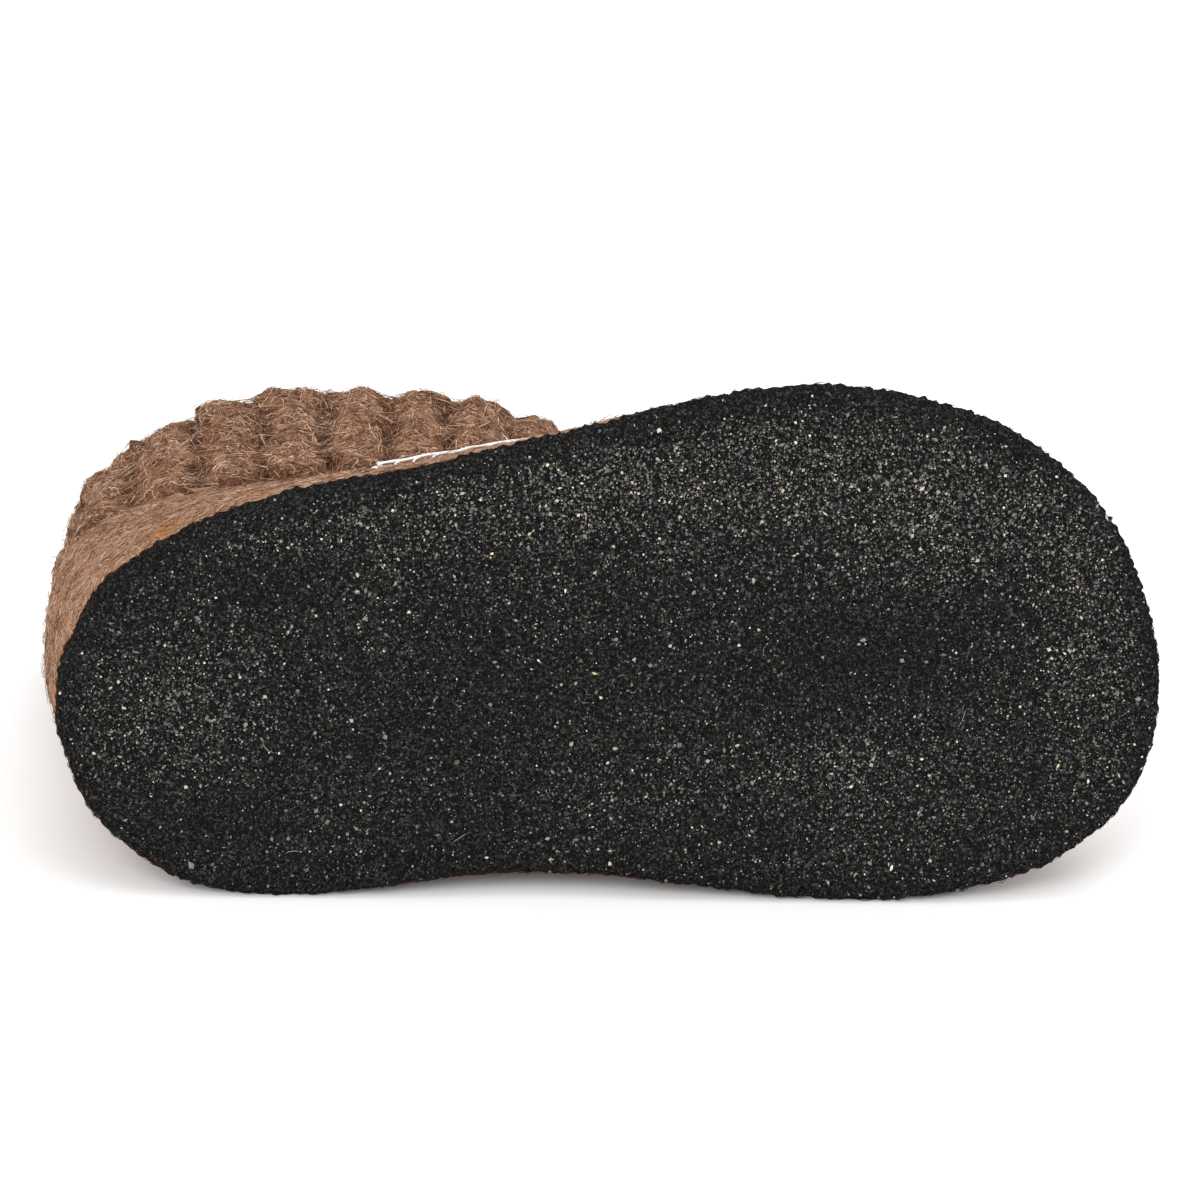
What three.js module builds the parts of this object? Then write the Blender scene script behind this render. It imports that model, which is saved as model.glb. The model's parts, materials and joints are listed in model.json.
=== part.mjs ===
// A small child's felted wool slipper for the right foot, lying on its inner side as it was laid down.
// Crumbed felt outsole, felt insole, seamless felt upper, ribbed knit cuff and a bare sewn patch.
// It is worked out standing (toe +X, up +Z, inner side of the foot +Y, millimetres) and then laid down.
import * as THREE from "three";
import { ConvexHull } from "three/addons/math/ConvexHull.js";
import { mergeVertices } from "three/addons/utils/BufferGeometryUtils.js";

// Driving sizes of the last
const length = 156;
const ballWidth = 75;
const heelHeight = 42.2;
const instepHeight = 50.7;

// Outsole and insole
const soleThickness = 4;
const soleEdgeRadius = 1.6;
const toeSpring = 4;
const archRise = 1;
const insoleThickness = 4;

// Upper
const wall = 3;
const welt = 1.5;
const collarLength = 73.8;
const collarWidth = 36;
const collarSetback = 3;
const collarShift = -0.5;
const collarFullness = 3.5;

// Cuff
const ribCount = 20;
const ribRelief = 2.5;
const ribLean = 4.3;
const cuffWall = 2.6;
const cuffHeelHeight = 38.2;
const cuffInstepHeight = 30.7;
const cuffLength = 78.3;
const cuffWidth = 38.4;
const cuffSetback = 6.2;
const cuffShift = 2;
const cuffFullness = 2.4;

// Patch on the outer side, under the cuff
const patchLength = 28;
const patchHeight = 10;
const patchThickness = 0.6;
const patchFromHeel = 48;
const patchFoot = 25;
const patchRise = 6;

// Clearance between two pieces that meet
const seamGap = 0.3;

// Fineness of the facets
const upperColumns = 96;
const columnsPerRib = 6;
const upperRings = 9;
const toeFan = 0.083;

// Outline of the outsole: place along the length, half widths as shares of the ball width
const outlineRows = [
  { at: 0.0, outer: 0.008, inner: -0.008 },
  { at: 0.02, outer: 0.143, inner: 0.182 },
  { at: 0.05, outer: 0.235, inner: 0.264 },
  { at: 0.1, outer: 0.301, inner: 0.343 },
  { at: 0.16, outer: 0.351, inner: 0.382 },
  { at: 0.25, outer: 0.387, inner: 0.396 },
  { at: 0.35, outer: 0.404, inner: 0.386 },
  { at: 0.45, outer: 0.434, inner: 0.406 },
  { at: 0.55, outer: 0.469, inner: 0.445 },
  { at: 0.65, outer: 0.493, inner: 0.495 },
  { at: 0.75, outer: 0.472, inner: 0.52 },
  { at: 0.85, outer: 0.39, inner: 0.505 },
  { at: 0.9, outer: 0.316, inner: 0.475 },
  { at: 0.95, outer: 0.2, inner: 0.41 },
  { at: 0.98, outer: 0.075, inner: 0.34 },
  { at: 1.0, outer: -0.15, inner: 0.15 },
];

// The wall's course from the outsole to the collar, from the heel (0) by the outer side to the toe (0.5)
// and back by the inner side. inset: share of the welt. belly and shoulder: how far the lower and upper
// handle of the curve reach outwards, shares of the ball width. rise and drop: heights, shares of the instep.
const wallRows = [
  { at: 0.0, inset: 0.4, belly: 0.062, rise: 0.28, shoulder: 0.035, drop: 0.22 },
  { at: 0.07, inset: 0.3, belly: 0.066, rise: 0.28, shoulder: 0.084, drop: 0.22 },
  { at: 0.15, inset: 0.5, belly: 0.028, rise: 0.27, shoulder: 0.063, drop: 0.22 },
  { at: 0.25, inset: 1.0, belly: 0.013, rise: 0.26, shoulder: 0.023, drop: 0.22 },
  { at: 0.34, inset: 1.0, belly: -0.075, rise: 0.33, shoulder: 0.114, drop: 0.16 },
  { at: 0.42, inset: 1.0, belly: -0.03, rise: 0.47, shoulder: 0.3, drop: 0.17 },
  { at: 0.5, inset: 1.0, belly: -0.01, rise: 0.58, shoulder: 0.46, drop: 0.21 },
  { at: 0.58, inset: 1.0, belly: -0.02, rise: 0.47, shoulder: 0.3, drop: 0.17 },
  { at: 0.66, inset: 1.0, belly: -0.02, rise: 0.33, shoulder: 0.12, drop: 0.16 },
  { at: 0.75, inset: 1.0, belly: -0.005, rise: 0.26, shoulder: 0.035, drop: 0.22 },
  { at: 0.85, inset: 0.9, belly: 0.015, rise: 0.27, shoulder: 0.04, drop: 0.22 },
  { at: 0.93, inset: 0.8, belly: 0.025, rise: 0.28, shoulder: 0.04, drop: 0.22 },
  { at: 1.0, inset: 0.4, belly: 0.062, rise: 0.28, shoulder: 0.035, drop: 0.22 },
];

// Value of one column of a table at a place, on a smooth curve through its rows
function tableValue(rows, column, at) {
  let low = 0;
  while (low < rows.length - 2 && rows[low + 1].at <= at) {
    low += 1;
  }
  const slope = (index) => {
    const before = rows[index - 1];
    const after = rows[index + 1];
    if (!before || !after) {
      return 0;
    }
    return (after[column] - before[column]) / (after.at - before.at);
  };
  const span = rows[low + 1].at - rows[low].at;
  const share = (at - rows[low].at) / span;
  const square = share * share;
  const cube = square * share;
  const start = rows[low][column] * (2 * cube - 3 * square + 1);
  const end = rows[low + 1][column] * (3 * square - 2 * cube);
  const leaving = slope(low) * span * (cube - 2 * square + share);
  const arriving = slope(low + 1) * span * (cube - square);
  return start + end + leaving + arriving;
}

// Outline of the outsole, counter-clockwise from the heel by the outer side
const outerRows = outlineRows.map((row) => new THREE.Vector3(row.at * length, -row.outer * ballWidth, 0));
const innerRows = outlineRows
  .slice(1, -1)
  .reverse()
  .map((row) => new THREE.Vector3(row.at * length, row.inner * ballWidth, 0));
const outline = new THREE.CatmullRomCurve3([...outerRows, ...innerRows], true, "centripetal");
outline.arcLengthDivisions = 800;

function outlinePoint(share, inset) {
  const wrapped = ((share % 1) + 1) % 1;
  const point = outline.getPointAt(wrapped);
  const along = outline.getTangentAt(wrapped);
  return point.add(new THREE.Vector3(-along.y, along.x, 0).multiplyScalar(inset));
}

// Share of the outline that a column of the upper starts from: columns bunch at the heel and fan at the toe
function footShare(column) {
  return column - toeFan * Math.sin(2 * Math.PI * column);
}

// Height of the outsole's underside: flat at heel and ball, raised at the waist, sprung at the toe
const heelFlatEnd = 0.3 * length;
const ballFlatStart = 0.54 * length;
const ballFlatEnd = 0.72 * length;
function undersideHeight(x) {
  if (x > ballFlatEnd) {
    return toeSpring * ((x - ballFlatEnd) / (length - ballFlatEnd)) ** 2;
  }
  if (x > heelFlatEnd && x < ballFlatStart) {
    const share = (x - heelFlatEnd) / (ballFlatStart - heelFlatEnd);
    return archRise * Math.sin(Math.PI * share) ** 2;
  }
  return 0;
}

// Collar line of the upper and top line of the cuff: ovals that run from the back by the outer side.
// A fullness of 2 is an ellipse, and a greater one is squarer. The front half is always an ellipse.
class Oval extends THREE.Curve {
  constructor(lengthwise, across, setback, shift, fullness) {
    super();
    this.half = { x: lengthwise / 2, y: across / 2 };
    this.centre = { x: setback + lengthwise / 2, y: -shift };
    this.fullness = fullness;
  }
  getPoint(share, target = new THREE.Vector3()) {
    const angle = Math.PI + 2 * Math.PI * share;
    const along = Math.cos(angle);
    const over = Math.sin(angle);
    const power = along < 0 ? 2 / this.fullness : 1;
    const x = this.centre.x + this.half.x * Math.sign(along) * Math.abs(along) ** power;
    const y = this.centre.y + this.half.y * Math.sign(over) * Math.abs(over) ** power;
    return target.set(x, y, 0);
  }
}
const collarOval = new Oval(collarLength, collarWidth, collarSetback, collarShift, collarFullness);
const cuffOval = new Oval(cuffLength, cuffWidth, cuffSetback, cuffShift, cuffFullness);
const collarDip = 1.6;

function ovalPoint(curve, share, setback, lengthwise, heelZ, instepZ) {
  const flat = curve.getPointAt(((share % 1) + 1) % 1);
  const forward = THREE.MathUtils.clamp((flat.x - setback) / lengthwise, 0, 1);
  return new THREE.Vector3(flat.x, flat.y, heelZ + (instepZ - heelZ) * forward ** collarDip);
}
function collarPoint(share) {
  return ovalPoint(collarOval, share, collarSetback, collarLength, heelHeight, instepHeight);
}
function cuffTopPoint(share) {
  const heelZ = heelHeight + cuffHeelHeight;
  const instepZ = instepHeight + cuffInstepHeight;
  return ovalPoint(cuffOval, share, cuffSetback, cuffLength, heelZ, instepZ);
}

// Outer face of the upper: one curve for each column, from the feather line to the collar
function wallCurve(column) {
  const value = (name) => tableValue(wallRows, name, column);
  const foot = outlinePoint(footShare(column), value("inset") * welt);
  foot.z = undersideHeight(foot.x) + soleThickness + seamGap;
  const collar = collarPoint(column);
  const outward = new THREE.Vector3(foot.x - collar.x, foot.y - collar.y, 0).normalize();
  const lower = foot.clone().addScaledVector(outward, value("belly") * ballWidth);
  lower.z += value("rise") * instepHeight;
  const upper = collar.clone().addScaledVector(outward, value("shoulder") * ballWidth);
  upper.z -= value("drop") * instepHeight;
  return new THREE.CubicBezierCurve3(foot, lower, upper, collar);
}
const curveCache = new Map();
function wallPoint(column, share) {
  const key = ((column % 1) + 1) % 1;
  if (!curveCache.has(key)) {
    curveCache.set(key, wallCurve(key));
  }
  return curveCache.get(key).getPoint(share);
}
const probe = 0.002;
function wallNormal(column, share) {
  const low = Math.max(share - probe, 0);
  const high = Math.min(share + probe, 1);
  const up = wallPoint(column, high).sub(wallPoint(column, low));
  const around = wallPoint(column + probe, share).sub(wallPoint(column - probe, share));
  const normal = around.cross(up);
  if (share < probe || share > 1 - probe) {
    normal.z = 0;
  }
  return normal.normalize();
}

// Rings of points made into one closed body. A slab's last ring is zipped shut along the middle of the foot.
function faceRings(rings, closed) {
  const around = rings[0].length;
  const faces = [];
  const last = closed ? rings.length : rings.length - 1;
  for (let ring = 0; ring < last; ring += 1) {
    const next = (ring + 1) % rings.length;
    for (let place = 0; place < around; place += 1) {
      const turn = (place + 1) % around;
      const near = [ring * around + place, ring * around + turn];
      const far = [next * around + place, next * around + turn];
      faces.push(near[0], near[1], far[1], near[0], far[1], far[0]);
    }
  }
  return faces;
}
function zipRing(offset, around, reverse) {
  const faces = [];
  for (let place = 0; place < around / 2; place += 1) {
    const far = (around - place) % around;
    const corner = [place, place + 1, around - place - 1, far].map((index) => index + offset);
    faces.push([corner[0], corner[1], corner[2]], [corner[0], corner[2], corner[3]]);
  }
  const solid = faces.filter(([a, b, c]) => a !== b && b !== c && c !== a);
  return solid.flatMap((face) => (reverse ? face.reverse() : face));
}
const mergeDistance = 1e-4;
function bodyFrom(points, faces) {
  const geometry = new THREE.BufferGeometry();
  const places = points.flatMap((point) => point.toArray());
  geometry.setAttribute("position", new THREE.Float32BufferAttribute(places, 3));
  geometry.setIndex(faces);
  const merged = mergeVertices(geometry, mergeDistance);
  merged.computeVertexNormals();
  return merged;
}

// Upper: the outer face and its offset by the wall, joined at the feather line and at the collar
function upperGeometry() {
  const outside = [];
  const inside = [];
  for (let ring = 0; ring <= upperRings; ring += 1) {
    const share = ring / upperRings;
    const outerRing = [];
    const innerRing = [];
    for (let place = 0; place < upperColumns; place += 1) {
      const column = place / upperColumns;
      const point = wallPoint(column, share);
      outerRing.push(point);
      innerRing.push(point.clone().addScaledVector(wallNormal(column, share), -wall));
    }
    outside.push(outerRing);
    inside.unshift(innerRing);
  }
  const rings = [...outside, ...inside];
  return bodyFrom(rings.flat(), faceRings(rings, true));
}

// Slabs of the bottom: rings drawn in from the outline towards a line along the middle of the foot
const spineStart = 0.17 * length;
const spineEnd = 0.8 * length;
const slabRings = [0.3, 0.6, 0.88];
function slabGeometry(levels, baseInset) {
  const share = (place) => footShare(place / upperColumns);
  const places = [...Array(upperColumns).keys()];
  const edgeRing = (inset, height) =>
    places.map((place) => {
      const point = outlinePoint(share(place), inset);
      point.z = undersideHeight(point.x) + height;
      return point;
    });
  const innerRing = (pull, height) =>
    places.map((place) => {
      const point = outlinePoint(share(place), baseInset);
      const middle = THREE.MathUtils.clamp(point.x, spineStart, spineEnd);
      point.x += (middle - point.x) * pull;
      point.y *= 1 - pull;
      point.z = undersideHeight(point.x) + height;
      return point;
    });
  const bottom = levels[0].height;
  const top = levels[levels.length - 1].height;
  const rings = [
    ...slabRings.toReversed().map((pull) => innerRing(pull, bottom)),
    ...levels.map((level) => edgeRing(level.inset, level.height)),
    ...slabRings.map((pull) => innerRing(pull, top)),
  ];
  const faces = faceRings(rings, false);
  const topOffset = (rings.length - 1) * upperColumns;
  faces.push(...zipRing(0, upperColumns, true), ...zipRing(topOffset, upperColumns, false));
  return bodyFrom(rings.flat(), faces);
}

function outsoleGeometry() {
  const soft = soleEdgeRadius * (1 - Math.SQRT1_2);
  const faceInset = 3 * soleEdgeRadius;
  const levels = [
    { inset: soleEdgeRadius, height: 0 },
    { inset: soft, height: soft },
    { inset: 0, height: soleEdgeRadius },
    { inset: 0, height: soleThickness - soleEdgeRadius / 2 },
    { inset: soleEdgeRadius / 2, height: soleThickness },
  ];
  return slabGeometry(levels, faceInset);
}

const insoleDraft = 1;
function insoleGeometry() {
  const low = soleThickness + seamGap;
  const edge = welt + wall + seamGap;
  const levels = [
    { inset: edge + insoleDraft / 2, height: low },
    { inset: edge + insoleDraft, height: low + insoleThickness },
  ];
  return slabGeometry(levels, edge + 2 * insoleDraft);
}

// Cuff: a tube of round ribs that stands on the collar line and opens slightly upwards
const cuffLevels = [
  { at: 0.0, relief: 0.45 },
  { at: 0.04, relief: 0.8 },
  { at: 0.12, relief: 1.0 },
  { at: 0.35, relief: 0.95 },
  { at: 0.6, relief: 0.95 },
  { at: 0.85, relief: 1.0 },
  { at: 0.96, relief: 0.85 },
  { at: 1.0, relief: 0.4 },
];
const cuffInsideLevels = [1, 0.5, 0];
const ribRoundness = 0.7;
function cuffBasePoint(share) {
  const lean = ribLean / collarOval.getLength();
  const point = collarPoint(share + lean * Math.sin(2 * Math.PI * share));
  point.z += seamGap;
  return point;
}
function cuffPoint(share, level, outwards) {
  const base = cuffBasePoint(share);
  const top = cuffTopPoint(share);
  const ahead = cuffBasePoint(share + probe).lerp(cuffTopPoint(share + probe), level);
  const behind = cuffBasePoint(share - probe).lerp(cuffTopPoint(share - probe), level);
  const around = ahead.sub(behind);
  const outward = new THREE.Vector3(around.y, -around.x, 0).normalize();
  return base.lerp(top, level).addScaledVector(outward, outwards);
}
function cuffGeometry() {
  const around = ribCount * columnsPerRib;
  const ringAt = (level, outwards) =>
    Array.from({ length: around }, (_, place) => {
      const rib = Math.sin((Math.PI * (place % columnsPerRib)) / columnsPerRib) ** ribRoundness;
      return cuffPoint(place / around, level, outwards(rib));
    });
  const outside = cuffLevels.map(({ at, relief }) => ringAt(at, (rib) => rib * relief * ribRelief));
  const inside = cuffInsideLevels.map((at) => ringAt(at, () => -cuffWall));
  const rings = [...outside, ...inside];
  return bodyFrom(rings.flat(), faceRings(rings, true));
}

// Patch: follows the outer face of the upper, found by its place along the foot and above the ground
const halvingSteps = 24;
const outerSide = { from: 0.1, to: 0.45 };
function halve(low, high, isLow) {
  for (let step = 0; step < halvingSteps; step += 1) {
    const middle = (low + high) / 2;
    if (isLow(middle)) {
      low = middle;
    } else {
      high = middle;
    }
  }
  return (low + high) / 2;
}
function facePlace(x, height) {
  const shareAt = (column) => halve(0, 1, (share) => wallCurve(column).getPoint(share).z < height);
  const isBehind = (column) => wallCurve(column).getPoint(shareAt(column)).x < x;
  const column = halve(outerSide.from, outerSide.to, isBehind);
  return { column, share: shareAt(column) };
}
const patchCells = { along: 8, across: 3 };
const patchCorner = { narrowing: 0.35, sharpness: 8 };
function patchGeometry() {
  const layer = (lift) => {
    const rows = [];
    for (let row = 0; row <= patchCells.across; row += 1) {
      for (let cell = 0; cell <= patchCells.along; cell += 1) {
        const along = (2 * cell) / patchCells.along - 1;
        const narrow = 1 - patchCorner.narrowing * Math.abs(along) ** patchCorner.sharpness;
        const across = ((2 * row) / patchCells.across - 1) * narrow;
        const x = patchFromHeel + (patchLength * (along + 1)) / 2;
        const foot = patchFoot + (patchRise * (along + 1)) / 2;
        const { column, share } = facePlace(x, foot + (patchHeight * (1 + across)) / 2);
        rows.push(wallPoint(column, share).addScaledVector(wallNormal(column, share), lift));
      }
    }
    return rows;
  };
  const points = [...layer(seamGap), ...layer(seamGap + patchThickness)];
  const across = patchCells.along + 1;
  const count = points.length / 2;
  const faces = [];
  const quad = (a, b, c, d) => faces.push(a, b, c, a, c, d);
  for (let row = 0; row < patchCells.across; row += 1) {
    for (let cell = 0; cell < patchCells.along; cell += 1) {
      const corner = row * across + cell;
      quad(corner, corner + across, corner + across + 1, corner + 1);
      quad(count + corner, count + corner + 1, count + corner + across + 1, count + corner + across);
    }
  }
  const rim = [];
  for (let cell = 0; cell < patchCells.along; cell += 1) {
    rim.push(cell);
  }
  for (let row = 0; row < patchCells.across; row += 1) {
    rim.push(row * across + patchCells.along);
  }
  for (let cell = patchCells.along; cell > 0; cell -= 1) {
    rim.push(patchCells.across * across + cell);
  }
  for (let row = patchCells.across; row > 0; row -= 1) {
    rim.push(row * across);
  }
  rim.forEach((from, index) => {
    const to = rim[(index + 1) % rim.length];
    quad(from, to, count + to, count + from);
  });
  return bodyFrom(points, faces);
}

// Finishes
const finishes = {
  outsole: { color: 0x2a2a2a, roughness: 0.9 },
  insole: { color: 0x6b6259, roughness: 0.95 },
  upper: { color: 0x94735c, roughness: 0.95 },
  cuff: { color: 0x80604a, roughness: 0.97 },
  patch: { color: 0xd8d4cd, roughness: 0.8 },
};
function piece(name, geometry) {
  const mesh = new THREE.Mesh(geometry, new THREE.MeshStandardMaterial({ ...finishes[name], metalness: 0 }));
  mesh.name = name;
  return mesh;
}
const standing = new THREE.Group();
standing.add(piece("outsole", outsoleGeometry()));
standing.add(piece("insole", insoleGeometry()));
standing.add(piece("upper", upperGeometry()));
standing.add(piece("cuff", cuffGeometry()));
standing.add(piece("patch", patchGeometry()));

// Laid on its inner side: the widest face of its hull that looks inwards comes to lie on the ground
function layDown(group) {
  const hull = new ConvexHull().setFromObject(group);
  const faces = hull.faces.filter(({ normal }) => normal.y > Math.hypot(normal.x, normal.z));
  const rest = faces.reduce((widest, face) => (face.area > widest.area ? face : widest));
  group.quaternion.setFromUnitVectors(rest.normal, new THREE.Vector3(0, 0, -1));
  const toe = new THREE.Vector3(1, 0, 0).applyQuaternion(group.quaternion);
  const turn = new THREE.Quaternion().setFromAxisAngle(new THREE.Vector3(0, 0, 1), -Math.atan2(toe.y, toe.x));
  group.quaternion.premultiply(turn);
  group.updateMatrixWorld(true);
  const box = new THREE.Box3().setFromObject(group, true);
  const middle = box.getCenter(new THREE.Vector3());
  group.position.set(-middle.x, -middle.y, -box.min.z);
}
layDown(standing);

const slipper = new THREE.Group();
slipper.add(standing);
slipper.updateMatrixWorld(true);
export default slipper;
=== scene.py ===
"""Child's felted wool slipper for the right foot, lying on its inner side.

Around the fixed frame this builds the crumbed felt outsole, the felt insole, the fulled wool upper, the
ribbed knit cuff, the yarn seam between the two and a bare patch that is overcast with thread. All sizes
are in metres. The shoe's own frame has x from the heel to the toe, y to the inner side of the foot and z
up from the ground that it would stand on.
"""

import json
import math

import bpy
import numpy as np
from mathutils import Matrix, Vector, noise as perlin
from mathutils.bvhtree import BVHTree
from mathutils.kdtree import KDTree


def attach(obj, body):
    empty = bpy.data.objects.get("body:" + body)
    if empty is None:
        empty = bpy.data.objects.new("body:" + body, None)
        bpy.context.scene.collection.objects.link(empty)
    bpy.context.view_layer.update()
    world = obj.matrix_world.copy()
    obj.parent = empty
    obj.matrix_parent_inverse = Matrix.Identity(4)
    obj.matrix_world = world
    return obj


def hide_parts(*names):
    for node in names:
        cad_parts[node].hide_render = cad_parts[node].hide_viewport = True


bl_info = {
    "name": "Felted slipper",
    "version": (1, 0, 0),
    "blender": (4, 5, 0),
    "location": "3D View > Sidebar > Slipper",
    "description": "Builds the felt, knit, crumb and thread of a child's felted wool slipper",
    "category": "Object",
}

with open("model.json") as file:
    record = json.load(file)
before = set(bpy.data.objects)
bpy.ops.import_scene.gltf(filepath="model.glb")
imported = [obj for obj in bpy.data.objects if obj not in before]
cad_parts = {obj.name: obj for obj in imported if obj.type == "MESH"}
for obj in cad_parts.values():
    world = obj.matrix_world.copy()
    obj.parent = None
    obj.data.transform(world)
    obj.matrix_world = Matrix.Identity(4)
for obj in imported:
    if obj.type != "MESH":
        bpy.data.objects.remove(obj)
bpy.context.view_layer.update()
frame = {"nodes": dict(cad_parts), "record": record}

MM = 0.001
BODY = "root"
FLOOR_GAP = 0.02 * MM
FULL_TURN = 6.283
SEEDS = {"sole": 11, "crumb": 23, "insole": 31, "upper": 41, "cuff": 53, "seam": 61}

# The shoe's own frame, from the mount under the ball: its place along and across the shoe is known
BALL_MOUNT = next(mount for mount in frame["record"]["mounts"] if mount["name"] == "sole")
BALL_PLACE = (98 * MM, 1 * MM)
UP = -Vector(BALL_MOUNT["axis"]).normalized()
TOE = Vector((-UP.z, 0, UP.x)).normalized()
INNER = UP.cross(TOE)
SHOE_AXES = np.array([TOE[:], INNER[:], UP[:]])
SHOE_ORIGIN = np.array(BALL_MOUNT["pos_m"]) - np.array([*BALL_PLACE, 0]) @ SHOE_AXES


def to_world(points):
    """World places of points given in the shoe's frame."""
    return SHOE_ORIGIN + np.asarray(points, float) @ SHOE_AXES


def to_shoe(points):
    """Places in the shoe's frame of points given in the world."""
    return (np.asarray(points, float) - SHOE_ORIGIN) @ SHOE_AXES.T


def screen(red, green, blue):
    """Linear colour of a screen colour given from 0 to 255."""
    shares = [value / 255 for value in (red, green, blue)]
    return tuple(s / 12.92 if s <= 0.04045 else ((s + 0.055) / 1.055) ** 2.4 for s in shares)


def toned(paint, share_of):
    """A colour made darker or lighter."""
    return tuple(min(value * share_of, 1) for value in paint)


def held(values):
    """Values held between 0 and 1."""
    return np.clip(values, 0, 1)


def bell(off, width):
    """1 where there is no offset, falling softly over a width."""
    return np.exp(-((off / width) ** 2))


# Settings that a user would change


def size(name, description, default):
    """A length setting."""
    return bpy.props.FloatProperty(
        name=name, description=description, default=default, unit="LENGTH", precision=5
    )


def share(name, description, default):
    """A plain number setting."""
    return bpy.props.FloatProperty(name=name, description=description, default=default)


def turn(name, description, degrees):
    """An angle setting."""
    return bpy.props.FloatProperty(
        name=name, description=description, default=math.radians(degrees), subtype="ANGLE"
    )


def number(name, description, default):
    """A count setting."""
    return bpy.props.IntProperty(name=name, description=description, default=default, min=1)


def colour(name, description, default):
    """A colour setting."""
    return bpy.props.FloatVectorProperty(
        name=name, description=description, default=default, subtype="COLOR", min=0, max=1
    )


class SlipperLast(bpy.types.PropertyGroup):
    """Sizes of the last that the seams, the knit and the patch follow."""

    length: size("Length", "Length of the outsole", 156 * MM)
    heel_height: size("Heel height", "Height of the collar line at the heel", 42.2 * MM)
    instep_height: size("Instep height", "Height of the collar line at the instep", 50.7 * MM)
    collar_length: size("Collar length", "Length of the collar line", 73.8 * MM)
    collar_width: size("Collar width", "Width of the collar line", 36 * MM)
    collar_setback: size("Collar setback", "From the heel to the back of the collar line", 3 * MM)
    collar_shift: size("Collar shift", "Of the collar line to the outer side", -0.5 * MM)
    collar_fullness: share("Collar fullness", "Squareness of the collar's back half", 3.5)
    collar_dip: share("Collar dip", "Power of the collar line's climb to the instep", 1.6)
    cuff_heel: size("Cuff at the heel", "Height of the cuff at the heel", 38.2 * MM)
    cuff_instep: size("Cuff at the instep", "Height of the cuff at the instep", 30.7 * MM)
    cuff_length: size("Cuff length", "Length of the cuff's top line", 78.3 * MM)
    cuff_width: size("Cuff width", "Width of the cuff's top line", 38.4 * MM)
    cuff_setback: size("Cuff setback", "From the heel to the back of the top line", 6.2 * MM)
    cuff_shift: size("Cuff shift", "Of the top line to the outer side", 2 * MM)
    cuff_fullness: share("Cuff fullness", "Squareness of the top line's back half", 2.4)
    rib_count: number("Ribs", "Ribs around the cuff", 20)
    rib_lean: size("Rib lean", "How far the ribs' feet are drawn along the collar line", 4.3 * MM)
    toe_spring: size("Toe spring", "How far the toe is lifted", 4 * MM)
    ball_end: size("Ball end", "From the heel to where the toe begins to lift", 112.32 * MM)
    sole_thickness: size("Sole thickness", "Thickness of the outsole", 4 * MM)


class SlipperSole(bpy.types.PropertyGroup):
    """Outsole, its rubber crumb and the insole."""

    mesh_step: size("Mesh step", "Fineness of the felt's mesh", 0.64 * MM)
    rim_reach: size("Rim reach", "How far the rim swells outwards", 0.26 * MM)
    scallop: size("Scallop", "From one small bulge of the rim to the next", 1.9 * MM)
    scallop_depth: size("Scallop depth", "How far a small bulge stands out", 0.4 * MM)
    groove_depth: size("Groove depth", "Depth of the line pressed in along the rim", 0.35 * MM)
    wear_depth: size("Wear depth", "How far the middle of the underside is worn", 0.5 * MM)
    felt: colour("Felt", "Black wool felt", screen(23, 23, 23))
    rim: colour("Rim", "Felt at the rim, tinted by the wool behind it", screen(64, 50, 47))
    fleck: colour("Fleck", "Fine rubber dust on the felt", screen(112, 111, 108))
    grain_dark: colour("Dark grain", "Darkest crumb", screen(20, 20, 20))
    grain_grey: colour("Grey grain", "Middle crumb", screen(134, 133, 129))
    grain_pale: colour("Pale grain", "Palest crumb", screen(240, 234, 218))
    grains: number("Grains", "Pale crumb grains on the underside", 18500)
    dark_grains: number("Dark grains", "Black crumb grains on the underside", 1500)
    grain_size: size("Grain size", "Middle radius of a crumb grain", 0.106 * MM)
    hairs: number("Hairs", "Short hairs on the felt", 3400)
    insole: colour("Insole", "Grey-brown wool felt of the insole", screen(122, 108, 96))
    insole_hairs: number("Insole hairs", "Hairs on the insole", 700)


class SlipperWool(bpy.types.PropertyGroup):
    """Wool of the upper, the cuff and the seam."""

    body_mesh_step: size("Upper's mesh step", "Fineness of the felt's mesh", 0.9 * MM)
    knit_mesh_step: size("Cuff's mesh step", "Fineness of the knit's mesh", 0.62 * MM)
    stitch_pitch: size("Stitch pitch", "Height of one row of the knit", 3.1 * MM)
    # Painted shade: the colour that the knit's hollows, pits and foot are darkened towards
    knit_shadow: colour("Knit shadow", "Wool deep between the stitches", screen(70, 38, 22))
    knit_dark: colour("Knit dark", "Darkest strands of the cuff", screen(86, 50, 30))
    knit_middle: colour("Knit middle", "Most strands of the cuff", screen(150, 108, 80))
    knit_light: colour("Knit light", "Lightest strands of the cuff", screen(216, 183, 158))
    body_dark: colour("Felt dark", "Darkest strands of the felt", screen(116, 74, 48))
    body_middle: colour("Felt middle", "Most strands of the felt", screen(164, 124, 96))
    body_light: colour("Felt light", "Lightest strands of the felt", screen(202, 170, 147))
    ochre: colour("Ochre", "A stray ochre lock on the felt", screen(176, 122, 60))
    strand: size("Strand", "Radius of a wool strand", 0.088 * MM)
    body_strands: number("Felt strands", "Strands laid on the upper", 14500)
    knit_strands: number("Knit strands", "Strands laid on the cuff", 16000)
    rim_strands: number("Rim strands", "Stray strands along the outsole's rim", 2600)
    valley_fill: size("Valley fill", "How far wool fills the grooves between ribs", 1.2 * MM)
    loop_depth: size("Loop depth", "Depth between the knit's loops", 0.8 * MM)
    fluff: size("Fluff", "How far the fulled wool swells over the loops", 0.9 * MM)
    pit_depth: size("Pit depth", "Depth of the pits between the ribs", 1.3 * MM)
    seam_pitch: size("Seam pitch", "From one loop of the seam to the next", 3.2 * MM)
    yarn: size("Yarn", "Radius of the seam's yarn", 0.28 * MM)


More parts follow.
